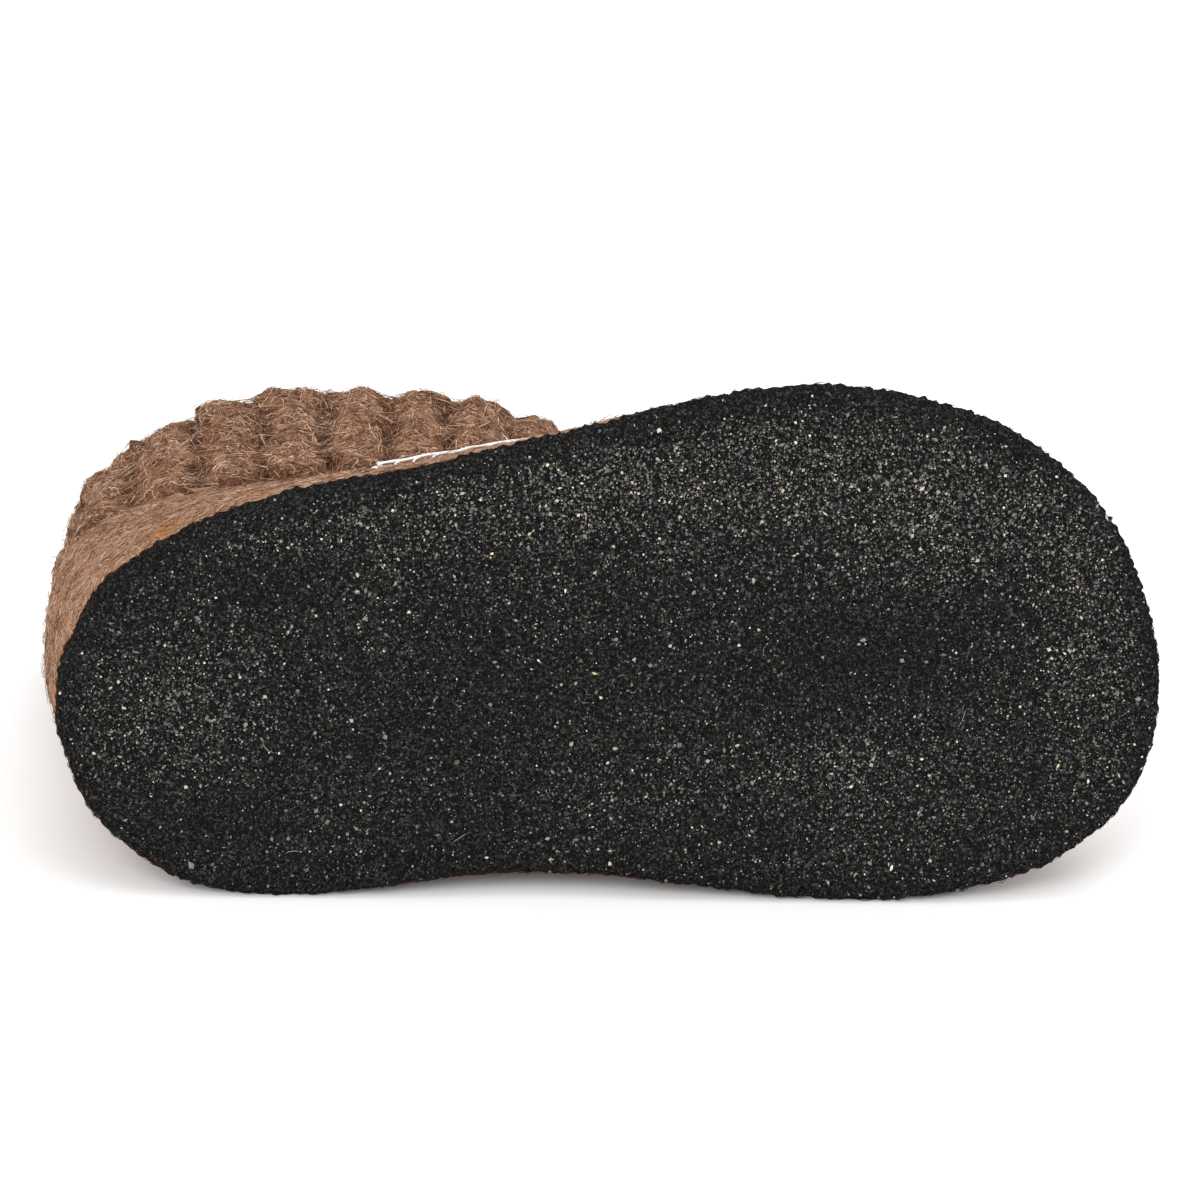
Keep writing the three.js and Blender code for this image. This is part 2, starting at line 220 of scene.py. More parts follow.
class SlipperPatch(bpy.types.PropertyGroup):
    """Bare patch on the outer side and its thread."""

    cloth: colour("Cloth", "Pale patch", screen(232, 231, 228))
    rim: colour("Rim", "Wool over the lower rim of the patch", screen(128, 92, 70))
    thread: colour("Thread", "White thread", screen(240, 240, 240))
    from_heel: size("From the heel", "To the patch's rear end", 48 * MM)
    length: size("Length", "Length of the patch", 28 * MM)
    height: size("Height", "Height of the patch", 10 * MM)
    foot: size("Foot", "Height of the patch's lower rear corner", 25 * MM)
    rise: size("Rise", "How far the patch climbs forwards", 6 * MM)
    pitch: size("Stitch pitch", "From one overcast stitch to the next", 2.8 * MM)
    thread_radius: size("Thread radius", "Radius of the thread", 0.17 * MM)
    hem_radius: size("Hem radius", "Radius of the cord along the lower edge", 0.21 * MM)


class SlipperStage(bpy.types.PropertyGroup):
    """Floor, lights and camera."""

    floor: colour("Floor", "Pale floor", (0.9, 0.9, 0.9))
    sky: share("Sky", "Strength of the even light", 0.8)
    azimuth: turn("Azimuth", "Camera's way round the shoe", -9.668)
    elevation: turn("Elevation", "Camera's height above the horizon", 23.923)
    roll: turn("Roll", "Camera's turn about its own line", 4.578)
    distance: size("Distance", "Camera to its aim", 709.6 * MM)
    lens: share("Lens", "Focal length in millimetres", 150)


# Mesh work


def leave_edit_mode():
    """Back to object mode, with nothing selected."""
    if bpy.context.object and bpy.context.object.mode != "OBJECT":
        bpy.ops.object.mode_set(mode="OBJECT")
    bpy.ops.object.select_all(action="DESELECT")


def choose(piece):
    """Makes a piece the active and only selected object."""
    leave_edit_mode()
    piece.select_set(True)
    bpy.context.view_layer.objects.active = piece


def copy_of(node, name):
    """A merged copy of a CAD node, turned to four-sided faces, as a new object."""
    piece = bpy.data.objects.new(name, frame["nodes"][node].data.copy())
    bpy.context.scene.collection.objects.link(piece)
    piece.data.materials.clear()
    choose(piece)
    bpy.ops.mesh.customdata_custom_splitnormals_clear()
    bpy.ops.object.mode_set(mode="EDIT")
    bpy.ops.mesh.select_all(action="SELECT")
    bpy.ops.mesh.remove_doubles(threshold=0.01 * MM)
    bpy.ops.mesh.tris_convert_to_quads()
    bpy.ops.object.mode_set(mode="OBJECT")
    return piece


def worked(piece, kind, **settings):
    """Adds a modifier to a piece and applies it."""
    modifier = piece.modifiers.new(kind.title(), kind)
    for name, value in settings.items():
        setattr(modifier, name, value)
    choose(piece)
    bpy.ops.object.modifier_apply(modifier=modifier.name)


def rounded(piece, levels):
    """Subdivides a piece smoothly."""
    worked(piece, "SUBSURF", levels=levels, render_levels=levels)


def even_mesh(piece, step):
    """Gives a piece an even fine mesh."""
    worked(piece, "REMESH", mode="VOXEL", voxel_size=step)
    worked(piece, "SMOOTH", factor=0.5, iterations=3)


def lumps(piece, scale, depth, seed):
    """Small uneven lumps over a whole piece."""
    texture = bpy.data.textures.new(f"{piece.name}_lumps_{seed}", "CLOUDS")
    texture.noise_scale = scale
    texture.noise_depth = 1
    worked(piece, "DISPLACE", texture=texture, strength=depth, mid_level=0.5, texture_coords="LOCAL")


def pressed(piece, weights, depth):
    """Moves the surface outwards by depth where the weights are 1."""
    group = piece.vertex_groups.new(name="press")
    for index in np.flatnonzero(weights > 0.004):
        group.add([int(index)], float(weights[index]), "REPLACE")
    worked(piece, "DISPLACE", vertex_group="press", strength=depth, mid_level=0)
    piece.vertex_groups.remove(piece.vertex_groups["press"])


def corners(piece):
    """A piece's vertices as an array, in the world."""
    places = np.empty(len(piece.data.vertices) * 3)
    piece.data.vertices.foreach_get("co", places)
    return places.reshape(-1, 3)


def facings(piece):
    """Directions that a piece's vertices face, in the shoe's frame."""
    values = np.empty(len(piece.data.vertices) * 3)
    piece.data.vertex_normals.foreach_get("vector", values)
    return values.reshape(-1, 3) @ SHOE_AXES.T


def field(places, scale, seed=0):
    """Smooth random values from -1 to 1 at places, in waves about as long as the scale."""
    start = Vector((7.3, 3.1, 5.7)) * seed
    return np.array([perlin.noise(Vector(place) / scale + start) for place in places])


def write_attribute(piece, name, values):
    """Keeps one number for each vertex under a name that a material reads."""
    attribute = piece.data.attributes.new(name, "FLOAT", "POINT")
    attribute.data.foreach_set("value", np.asarray(values, np.float32))


def laid_down(piece):
    """Flattens what would reach below the floor that the shoe lies on."""
    places = corners(piece)
    places[:, 2] = np.maximum(places[:, 2], FLOOR_GAP)
    piece.data.vertices.foreach_set("co", places.ravel())
    piece.data.update()


def finished(piece, finish, node=None):
    """Gives a piece its material, slot and body, and hides the CAD node that it stands for."""
    laid_down(piece)
    piece.data.materials.append(finish)
    choose(piece)
    bpy.ops.object.shade_smooth()
    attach(piece, BODY)
    if node:
        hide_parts(node)
    leave_edit_mode()


class Skin:
    """The surface of a finished piece, for placing small things on it."""

    def __init__(self, piece):
        mesh = piece.data
        mesh.calc_loop_triangles()
        triangles = np.empty(len(mesh.loop_triangles) * 3, np.int32)
        mesh.loop_triangles.foreach_get("vertices", triangles)
        triangles = triangles.reshape(-1, 3)
        self.points = corners(piece)
        self.sides = [self.points[triangles[:, corner]] for corner in range(3)]
        across = np.cross(self.sides[1] - self.sides[0], self.sides[2] - self.sides[0])
        self.areas = np.linalg.norm(across, axis=1) / 2
        self.normals = across / np.maximum(self.areas[:, None] * 2, 1e-12)
        self.centres = sum(self.sides) / 3
        self.tree = BVHTree.FromPolygons(self.points.tolist(), triangles.tolist())

    def scatter(self, count, weight, chance):
        """Random places and normals on the skin, as dense as the weight of each triangle."""
        odds = self.areas * weight(to_shoe(self.centres), self.normals @ SHOE_AXES.T)
        picked = chance.choice(len(odds), count, p=odds / odds.sum())
        first, second = chance.random((2, count, 1))
        over = first + second > 1
        first, second = np.where(over, 1 - first, first), np.where(over, 1 - second, second)
        start, along, beside = (side[picked] for side in self.sides)
        return start + first * (along - start) + second * (beside - start), self.normals[picked]

    def settle(self, points, lifts):
        """Points moved to the skin and lifted off it."""
        settled = np.empty_like(points)
        for index, point in enumerate(points):
            place, normal, _face, _distance = self.tree.find_nearest(Vector(point))
            settled[index] = np.array(place) + np.array(normal) * lifts[index]
        return settled


def searchable(points):
    """A tree that finds the nearest of some points."""
    tree = KDTree(len(points))
    for index, point in enumerate(points):
        tree.insert(point, index)
    tree.balance()
    return tree


def unit(vectors):
    """Vectors of length one."""
    return vectors / np.maximum(np.linalg.norm(vectors, axis=-1, keepdims=True), 1e-12)


def mesh_piece(name, points, triangles):
    """A new object from arrays of points and triangles."""
    mesh = bpy.data.meshes.new(name)
    mesh.from_pydata(points.tolist(), [], triangles.tolist())
    mesh.update()
    piece = bpy.data.objects.new(name, mesh)
    bpy.context.scene.collection.objects.link(piece)
    return piece


def spun(name, paths, radii, tones, around=3):
    """One mesh of many thin strands with pointed ends, each along a row of paths."""
    count, steps, _ = paths.shape
    rings = steps - 2
    forward = unit(paths[:, 2:] - paths[:, :-2])
    reference = unit(np.random.default_rng(count).normal(size=(count, 1, 3)))
    beside = unit(np.cross(reference, forward))
    above = np.cross(forward, beside)
    angles = np.arange(around) * 2 * math.pi / around
    spoke = (
        np.cos(angles)[None, None, :, None] * beside[:, :, None]
        + np.sin(angles)[None, None, :, None] * above[:, :, None]
    )
    ring_points = paths[:, 1:-1, None] + spoke * radii[:, None, None, None]
    points = np.concatenate(
        [paths[:, :1], ring_points.reshape(count, rings * around, 3), paths[:, -1:]], axis=1
    )
    per_strand = rings * around + 2
    faces = []
    for spoke_index in range(around):
        here = 1 + spoke_index
        there = 1 + (spoke_index + 1) % around
        faces.append((0, there, here))
        for ring in range(rings - 1):
            low, high = ring * around, (ring + 1) * around
            faces.append((low + here, low + there, high + there))
            faces.append((low + here, high + there, high + here))
        top = (rings - 1) * around
        faces.append((top + here, top + there, per_strand - 1))
    starts = np.arange(count)[:, None, None] * per_strand
    triangles = (np.array(faces)[None] + starts).reshape(-1, 3)
    piece = mesh_piece(name, points.reshape(-1, 3), triangles)
    write_attribute(piece, "tone", np.repeat(tones, per_strand))
    return piece


def turned(directions, normals, angles):
    """Directions laid flat on the surface and turned about its normals."""
    flat = unit(directions - normals * np.sum(directions * normals, axis=1, keepdims=True))
    beside = np.cross(normals, flat)
    return flat * np.cos(angles)[:, None] + beside * np.sin(angles)[:, None]


def laid_strands(skin, places, normals, directions, angles, chance, length, curl, lift, steps=4):
    """Paths of strands that lie on a skin: they start in it, bend by curl and end at their lift."""
    count = len(places)
    headings = turned(directions, normals, angles)
    beside = np.cross(normals, headings)
    bends = chance.normal(0, curl, count)[:, None]
    lengths = length[:, None]
    paths = np.empty((count, steps, 3))
    for step, way in enumerate(np.linspace(0, 1, steps)):
        sideways = bends * lengths * way * (1 - way) * 2
        points = places + headings * lengths * (way - 0.5) + beside * sideways
        lifts = lift * way**1.6 + 0.09 * MM * math.sin(math.pi * way) - 0.03 * MM
        paths[:, step] = skin.settle(points, lifts)
    return paths


def strand_lifts(chance, count, loose_share, loose_reach, lying_reach):
    """Which strands are loose, and how far each strand's end stands off."""
    loose = chance.random(count) < loose_share
    standing, lying = chance.uniform(*loose_reach, count), chance.uniform(0, lying_reach, count)
    return loose, np.where(loose, standing, lying) * MM


# Lines of the last


OVAL_STEPS = 1440


def oval(length, width, setback, shift, fullness):
    """Even walk round an oval from its back by the outer side, as a function of the share walked."""
    angle = math.pi + 2 * math.pi * np.linspace(0, 1, OVAL_STEPS + 1)
    along, over = np.cos(angle), np.sin(angle)
    power = np.where(along < 0, 2 / fullness, 1.0)
    x = setback + length / 2 * (1 + np.sign(along) * np.abs(along) ** power)
    y = -shift + width / 2 * np.sign(over) * np.abs(over) ** power
    walked = np.concatenate([[0], np.cumsum(np.hypot(np.diff(x), np.diff(y)))])
    shares = walked / walked[-1]

    def walk(way):
        return np.interp(way % 1, shares, x), np.interp(way % 1, shares, y)

    return walk, walked[-1]


def climbing(x, setback, length, dip, heel_z, instep_z):
    """Height of a line that climbs from the heel to the instep."""
    forward = held((x - setback) / length)
    return heel_z + (instep_z - heel_z) * forward**dip


def collar_oval(last):
    """The collar line's walk seen from above, and its length."""
    shape = (last.collar_setback, last.collar_shift, last.collar_fullness)
    return oval(last.collar_length, last.collar_width, *shape)


def collar_line(last, way):
    """Points of the collar line in the shoe's frame."""
    x, y = collar_oval(last)[0](way)
    heights = (last.collar_dip, last.heel_height, last.instep_height)
    z = climbing(x, last.collar_setback, last.collar_length, *heights)
    return np.stack([x, y, z], axis=-1)


def cuff_foot(last, way):
    """Points of the cuff's foot, where the ribs lean along the collar line."""
    around = collar_oval(last)[1]
    return collar_line(last, way + last.rib_lean / around * np.sin(2 * math.pi * way))


def cuff_top(last, way):
    """Points of the cuff's top line."""
    shape = (last.cuff_setback, last.cuff_shift, last.cuff_fullness)
    x, y = oval(last.cuff_length, last.cuff_width, *shape)[0](way)
    heel_z = last.heel_height + last.cuff_heel
    instep_z = last.instep_height + last.cuff_instep
    z = climbing(x, last.cuff_setback, last.cuff_length, last.collar_dip, heel_z, instep_z)
    return np.stack([x, y, z], axis=-1)


class CuffMap:
    """Finds, for places on the cuff, the share of the way round and the height up the knit."""

    AROUND = 480
    UPWARDS = 24

    def __init__(self, last):
        way = np.arange(self.AROUND) / self.AROUND
        ahead = 1 / self.AROUND
        levels = np.linspace(0, 1, self.UPWARDS + 1)[None, :, None]
        foot, top = cuff_foot(last, way)[:, None], cuff_top(last, way)[:, None]
        next_foot, next_top = cuff_foot(last, way + ahead)[:, None], cuff_top(last, way + ahead)[:, None]
        self.places = (foot + (top - foot) * levels).reshape(-1, 3)
        next_places = (next_foot + (next_top - next_foot) * levels).reshape(-1, 3)
        self.around = (next_places - self.places) / ahead
        self.upwards = np.broadcast_to(top - foot, (self.AROUND, self.UPWARDS + 1, 3)).reshape(-1, 3)
        outward = np.stack([self.around[:, 1], -self.around[:, 0], np.zeros(len(self.around))], axis=1)
        self.outward = unit(outward)
        self.way = np.repeat(way, self.UPWARDS + 1)
        self.level = np.tile(levels.ravel(), self.AROUND)
        self.tree = searchable(self.places)

    def find(self, points):
        """Share round, level, distance outwards and direction up the rib for points in the shoe's frame."""
        nearest = np.array([self.tree.find(point)[1] for point in points])
        off = points - self.places[nearest]
        around, upwards = self.around[nearest], self.upwards[nearest]
        way = self.way[nearest] + np.sum(off * around, 1) / np.sum(around * around, 1)
        level = self.level[nearest] + np.sum(off * upwards, 1) / np.sum(upwards * upwards, 1)
        outwards = np.sum(off * self.outward[nearest], 1)
        return way % 1, level, outwards, unit(upwards)


# Shader work


def add_node(tree, kind, inputs=None, **settings):
    """A new node with its settings, its values and its links."""
    made = tree.nodes.new(kind)
    for name, value in settings.items():
        setattr(made, name, value)
    for name, value in (inputs or {}).items():
        socket = made.inputs[name]
        if isinstance(value, bpy.types.NodeSocket):
            tree.links.new(value, socket)
        else:
            socket.default_value = value
    return made


def maths(tree, operation, first, second=0.0, third=0.0, clamp=False):
    """Result of a maths node."""
    inputs = {0: first, 1: second, 2: third}
    return add_node(tree, "ShaderNodeMath", inputs, operation=operation, use_clamp=clamp).outputs[0]


def between(tree, value, low, high, to_low=0.0, to_high=1.0):
    """A value's smooth way from low to high."""
    inputs = {"Value": value, "From Min": low, "From Max": high, "To Min": to_low, "To Max": to_high}
    return add_node(tree, "ShaderNodeMapRange", inputs, interpolation_type="SMOOTHSTEP").outputs["Result"]


def mixed(tree, factor, first, second, blend="MIX"):
    """Two colours mixed by a factor."""
    made = add_node(tree, "ShaderNodeMix", data_type="RGBA", blend_type=blend, clamp_factor=True)
    for socket, value in ((made.inputs[0], factor), (made.inputs[6], first), (made.inputs[7], second)):
        if isinstance(value, bpy.types.NodeSocket):
            tree.links.new(value, socket)
        else:
            socket.default_value = (*value, 1) if hasattr(value, "__len__") else value
    return made.outputs[2]


def ramp(tree, factor, places, paints):
    """A colour ramp with its paints at places from 0 to 1."""
    made = add_node(tree, "ShaderNodeValToRGB", {"Fac": factor})
    elements = made.color_ramp.elements
    while len(elements) < len(places):
        elements.new(0.5)
    for element, place, paint in zip(elements, places, paints):
        element.position = place
        element.color = (*paint, 1)
    return made.outputs["Color"]


def cloud(tree, vector, scale, detail=2.0, roughness=0.5, distortion=0.0):
    """Value of a noise texture."""
    inputs = {
        "Vector": vector,
        "Scale": scale,
        "Detail": detail,
        "Roughness": roughness,
        "Distortion": distortion,
    }
    return add_node(tree, "ShaderNodeTexNoise", inputs).outputs["Fac"]


def new_group(name, inputs, outputs):
    """An empty shader node group with its sockets. Returns the tree, its inputs and its output node."""
    tree = bpy.data.node_groups.new(name, "ShaderNodeTree")
    for title, kind, default in inputs:
        socket = tree.interface.new_socket(title, in_out="INPUT", socket_type=kind)
        if default is not None:
            socket.default_value = default
    for title, kind in outputs:
        tree.interface.new_socket(title, in_out="OUTPUT", socket_type=kind)
    enter = tree.nodes.new("NodeGroupInput")
    leave = tree.nodes.new("NodeGroupOutput")
    return tree, enter.outputs, leave.inputs


def fibre_group():
    """Curly parallel fibre lines, as felted or carded wool shows them close up."""
    found = bpy.data.node_groups.get("Fibre lines")
    if found:
        return found
    tree, enter, leave = new_group(
        "Fibre lines",
        [("Vector", "NodeSocketVector", None), ("Scale", "NodeSocketFloat", 500.0)],
        [("Lines", "NodeSocketFloat"), ("Clumps", "NodeSocketFloat")],
    )
    long_waves = cloud(tree, enter["Vector"], enter["Scale"], detail=2, distortion=0.7)
    finer = maths(tree, "MULTIPLY", enter["Scale"], 1.9)
    short_waves = cloud(tree, enter["Vector"], finer, detail=1.5, distortion=1.2)
    first = maths(tree, "PINGPONG", maths(tree, "MULTIPLY", long_waves, 11.0), 0.5)
    second = maths(tree, "PINGPONG", maths(tree, "MULTIPLY", short_waves, 7.0), 0.5)
    tree.links.new(maths(tree, "ADD", first, second), leave["Lines"])
    coarser = maths(tree, "MULTIPLY", enter["Scale"], 0.42)
    tree.links.new(cloud(tree, enter["Vector"], coarser, detail=3, roughness=0.6), leave["Clumps"])
    return tree


def fleck_group():
    """Fine dots of rubber dust, few and uneven."""
    found = bpy.data.node_groups.get("Dust flecks")
    if found:
        return found
    tree, enter, leave = new_group(
        "Dust flecks",
        [("Vector", "NodeSocketVector", None), ("Scale", "NodeSocketFloat", 2600.0),
         ("Amount", "NodeSocketFloat", 0.3)],
        [("Dots", "NodeSocketFloat")],
    )
    cells = add_node(tree, "ShaderNodeTexVoronoi", {"Vector": enter["Vector"], "Scale": enter["Scale"]})
    apart = add_node(tree, "ShaderNodeSeparateColor", {"Color": cells.outputs["Color"]})
    radius = maths(tree, "MULTIPLY", apart.outputs["Green"], 0.5)
    dot = between(tree, maths(tree, "SUBTRACT", radius, cells.outputs["Distance"]), -0.12, 0.14)
    chosen = maths(tree, "LESS_THAN", apart.outputs["Red"], enter["Amount"])
    bright = maths(tree, "MULTIPLY", dot, apart.outputs["Blue"])
    tree.links.new(maths(tree, "MULTIPLY", bright, chosen), leave["Dots"])
    return tree


def new_material(name, roughness, sheen=0.0, specular=0.08):
    """A material with its node tree, its shader and the object's coordinates."""
    made = bpy.data.materials.new(name)
    made.use_nodes = True
    tree = made.node_tree
    shader = tree.nodes["Principled BSDF"]
    shader.inputs["Roughness"].default_value = roughness
    shader.inputs["Specular IOR Level"].default_value = specular
    shader.inputs["Sheen Weight"].default_value = sheen
    place = add_node(tree, "ShaderNodeTexCoord").outputs["Object"]
    return made, tree, shader, place


def attribute(tree, name):
    """A number that a mesh keeps for each vertex."""
    return add_node(tree, "ShaderNodeAttribute", attribute_name=name).outputs["Fac"]


def bumped(tree, shader, height, strength, distance):
    """A bump on the shader's normal."""
    inputs = {"Height": height, "Strength": strength, "Distance": distance}
    made = add_node(tree, "ShaderNodeBump", inputs)
    tree.links.new(made.outputs["Normal"], shader.inputs["Normal"])


OCHRE_PLACE = (17.1 * MM, -23.2 * MM, 8.4 * MM)
OCHRE_REACH = 4.2 * MM


def with_ochre(tree, paint, place, ochre):
    """A colour tinted round the stray ochre lock, which fades raggedly at its reach."""
    centre = tuple(to_world([OCHRE_PLACE])[0])
    apart = add_node(tree, "ShaderNodeVectorMath", {0: place, 1: centre}, operation="DISTANCE")
    ragged = maths(tree, "MULTIPLY", cloud(tree, place, 700.0), 1.6 * MM)
    off = maths(tree, "ADD", apart.outputs["Value"], ragged)
    mask = maths(tree, "MULTIPLY", between(tree, off, OCHRE_REACH, OCHRE_REACH * 0.35), 0.6)
    return mixed(tree, mask, paint, ochre)


def felt_material(name, tones, scale, shadow=None, ochre=None):
    """Wool: fibre lines over clumps, with painted shade where the mesh keeps a hollow."""
    made, tree, shader, place = new_material(name, 1.0, sheen=0.06)
    inputs = {"Vector": place, "Scale": scale}
    fibres = add_node(tree, "ShaderNodeGroup", inputs, node_tree=fibre_group())
    lines = maths(tree, "MULTIPLY", fibres.outputs["Lines"], 0.62)
    clumps = maths(tree, "MULTIPLY", fibres.outputs["Clumps"], 0.4)
    shade = maths(tree, "ADD", lines, clumps)
    paint = ramp(tree, shade, (0.25, 0.58, 0.9), tones)
    # Painted shade: the colour is darkened towards the shadow colour by the hollow attribute
    if shadow:
        paint = mixed(tree, attribute(tree, "hollow"), paint, shadow)
    if ochre:
        paint = with_ochre(tree, paint, place, ochre)
    tree.links.new(paint, shader.inputs["Base Color"])
    bumped(tree, shader, shade, 0.7, 0.35 * MM)
    return made


def strand_material(name, tones, ochre=None):
    """Single wool strands, each of its own tone."""
    made, tree, shader, place = new_material(name, 0.9, sheen=0.06)
    patches = maths(tree, "MULTIPLY", cloud(tree, place, 90.0, detail=2), 0.24)
    tone = maths(tree, "ADD", attribute(tree, "tone"), patches)
    paint = ramp(tree, maths(tree, "SUBTRACT", tone, 0.12), (0.0, 0.5, 1.0), tones)
    if ochre:
        paint = with_ochre(tree, paint, place, ochre)
    tree.links.new(paint, shader.inputs["Base Color"])
    return made


# Sole


def underside(last, x):
    """Height of the outsole's underside under the toe spring."""
    forward = held((x - last.ball_end) / (last.length - last.ball_end))
    return last.toe_spring * forward**2


class SoleEdge:
    """The outsole's outline, for how far inside it and how far along it a place lies."""

    def __init__(self, last):
        mesh = frame["nodes"]["outsole"].data
        upright = [face for face in mesh.polygons if abs(face.normal.dot(UP)) < 0.2]
        ring = sorted({index for face in upright for index in face.vertices})
        places = to_shoe([mesh.vertices[index].co[:] for index in ring])
        high = places[:, 2] - underside(last, places[:, 0]) > last.sole_thickness * 0.6
        places = places[high]
        middle = places.mean(axis=0)
        bearing = np.arctan2(places[:, 1] - middle[1], places[:, 0] - middle[0])
        ordered = places[np.argsort(bearing)]
        following = np.roll(ordered, -1, axis=0)
        steps = np.linspace(0, 1, 8, endpoint=False)[None, :, None]
        self.line = (ordered[:, None] + (following - ordered)[:, None] * steps).reshape(-1, 3)
        spans = np.linalg.norm(np.roll(self.line, -1, axis=0) - self.line, axis=1)
        self.walked = np.concatenate([[0], np.cumsum(spans)[:-1]])
        self.length = spans.sum()
        self.tree = searchable(self.line * (1, 1, 0))

    def find(self, places):
        """For places in the shoe's frame, how far inside the outline and how far along it they lie."""
        found = [self.tree.find((x, y, 0)) for x, y, _z in places]
        return np.array([hit[2] for hit in found]), self.walked[[hit[1] for hit in found]]

    def at(self, walked):
        """Points of the outline at distances walked along it, and the directions along it there."""
        ends = np.append(self.walked, self.length)
        line = np.concatenate([self.line, self.line[:1]])

        def point(distance):
            distance = distance % self.length
            return np.stack([np.interp(distance, ends, line[:, axis]) for axis in range(3)], 1)

        return point(walked), unit(point(walked + 1 * MM) - point(walked - 1 * MM))


def blob(places, x, y, along, across):
    """Soft round weight about a place on the sole."""
    return np.exp(-(((places[:, 0] - x) / along) ** 2) - ((places[:, 1] - y) / across) ** 2)


# Soft zones of the underside: x, y, reach along, reach across in millimetres, and the crumb's weight there,
# which is partly real crumb and partly painted light and shade, denser where the underside looked lit and
# thinner where it looked shaded
CRUMB_AND_LIGHT_ZONES = [
    (60, -25, 30, 7, 0.9),
    (96, -26, 26, 8, 1.35),
    (126, -17, 18, 9, 1.4),
    (145, 3, 7, 22, 1.1),
    (16, 0, 11, 9, 1.0),
    (113, 21, 15, 8, 0.7),
    (80, 20, 22, 5, 0.4),
    (112, 2, 17, 9, -0.55),
    (58, 3, 26, 11, -0.35),
    (30, -17, 12, 4, -0.5),
    (19, 17, 12, 5, -0.6),
    (45, 24, 20, 4, -0.3),
    (60, 22, 14, 4, -0.3),
    (92, 25, 13, 4, -0.45),
]
# The same for the rim, with how much further out it reaches there, in millimetres
RIM_ZONES = [
    (92, -36, 12, 8, 0.3),
    (66, -32, 12, 6, 0.22),
    (2, 12, 12, 14, -0.5),
    (156, 4, 10, 34, -0.32),
    (24, 28, 22, 8, -0.15),
    (120, 38, 24, 10, -0.12),
]


def zoned(places, zones):
    """Sum of soft zones at places."""
    return sum(weight * blob(places / MM, *zone) for *zone, weight in zones)


def crumb_and_light_weight(places, inset):
    """How thick the crumb lies at places on the underside: real crumb with painted light and shade in its
    zones, and thinner towards the rim as painted shade.
    """
    weight = 0.62 + zoned(places, CRUMB_AND_LIGHT_ZONES)
    rim = np.clip(inset / (4.2 * MM), 0.25, 1)
    return np.maximum(weight, 0.1) * rim


def sole_material(settings):
    """Black felt with fine rubber dust, darker at the rim where the dust thins as painted shade, and tinted
    by the wool behind it.
    """
    made, tree, shader, place = new_material("Sole felt", 1.0, specular=0.01)
    inputs = {"Vector": place, "Scale": 620.0}
    fibres = add_node(tree, "ShaderNodeGroup", inputs, node_tree=fibre_group())
    felt, fleck = settings.felt, settings.fleck
    shade = maths(tree, "MULTIPLY", fibres.outputs["Lines"], 0.9)
    paint = ramp(tree, shade, (0.1, 0.5, 0.95), (toned(felt, 0.35), felt, toned(felt, 2.9)))
    mottle = between(tree, cloud(tree, place, 2300.0, detail=3, roughness=0.7), 0.5, 0.72)
    paint = mixed(tree, maths(tree, "MULTIPLY", mottle, 0.62), paint, toned(fleck, 0.6))
    dust = attribute(tree, "dust")
    for scale, amount in ((2500.0, 0.5), (1700.0, 0.3)):
        inputs = {"Vector": place, "Scale": scale, "Amount": amount}
        flecks = add_node(tree, "ShaderNodeGroup", inputs, node_tree=fleck_group())
        dots = maths(tree, "MULTIPLY", flecks.outputs["Dots"], dust, clamp=True)
        paint = mixed(tree, dots, paint, fleck)
    tint_noise = between(tree, cloud(tree, place, 420.0, detail=3), 0.5, 0.68)
    tint = maths(tree, "MULTIPLY", maths(tree, "MULTIPLY", attribute(tree, "tint"), tint_noise), 0.3)
    paint = mixed(tree, tint, paint, settings.rim)
    tree.links.new(paint, shader.inputs["Base Color"])
    height = maths(tree, "ADD", shade, maths(tree, "MULTIPLY", cloud(tree, place, 1500.0), 0.6))
    bumped(tree, shader, height, 0.8, 0.25 * MM)
    return made


def grain_material(settings):
    """Rubber crumb: each grain from black through grey to a pale tone, a few of them warm."""
    made, tree, shader, _place = new_material("Rubber crumb", 0.85)
    tones = (settings.grain_dark, settings.grain_grey, settings.grain_pale)
    plain = ramp(tree, attribute(tree, "tone"), (0.0, 0.5, 1.0), tones)
    warm = mixed(tree, 1.0, plain, (1.0, 0.8, 0.5), blend="MULTIPLY")
    tree.links.new(mixed(tree, attribute(tree, "warm"), plain, warm), shader.inputs["Base Color"])
    return made


def grains(name, places, normals, radii, tones, chance):
    """One mesh of many small eight-faced crumbs, each turned and misshapen its own way."""
    count = len(places)
    shape = np.array([[1, 0, 0], [-1, 0, 0], [0, 1, 0], [0, -1, 0], [0, 0, 1], [0, 0, -1]], float)
    faces = np.array(
        [[0, 2, 4], [2, 1, 4], [1, 3, 4], [3, 0, 4], [2, 0, 5], [1, 2, 5], [3, 1, 5], [0, 3, 5]]
    )
    spans = shape[None] * chance.uniform(0.62, 1.35, (count, 6, 1))
    spans[:, :2] *= chance.uniform(0.95, 1.9, (count, 1, 1))
    first = unit(chance.normal(size=(count, 3)))
    second = unit(np.cross(first, chance.normal(size=(count, 3))))
    third = np.cross(first, second)
    axes = np.stack([first, second, third], axis=1)
    spread = np.einsum("nij,njk->nik", spans, axes) * radii[:, None, None]
    points = places[:, None] + normals[:, None] * radii[:, None, None] * 0.35 + spread
    triangles = (faces[None] + np.arange(count)[:, None, None] * 6).reshape(-1, 3)
    piece = mesh_piece(name, points.reshape(-1, 3), triangles)
    write_attribute(piece, "tone", np.repeat(tones, 6))
    write_attribute(piece, "warm", np.repeat(chance.random(count) ** 6, 6))
    return piece


# Pale hairs on the underside: x, y in millimetres, degrees from the toe, length in millimetres, tone
PALE_HAIRS = [
    (78, 2.6, 30, 3.2, 0.62),
    (73, 4.6, -40, 2.6, 0.58),
    (54, 23.2, 24, 3.8, 0.66),
    (30.6, 23.0, 0, 2.8, 0.66),
    (67, -28.6, -70, 1.9, 0.8),
]


def looks_down(normals):
    """1 on faces that look to the ground the shoe would stand on, else 0."""
    return (normals[:, 2] < -0.6).astype(float)


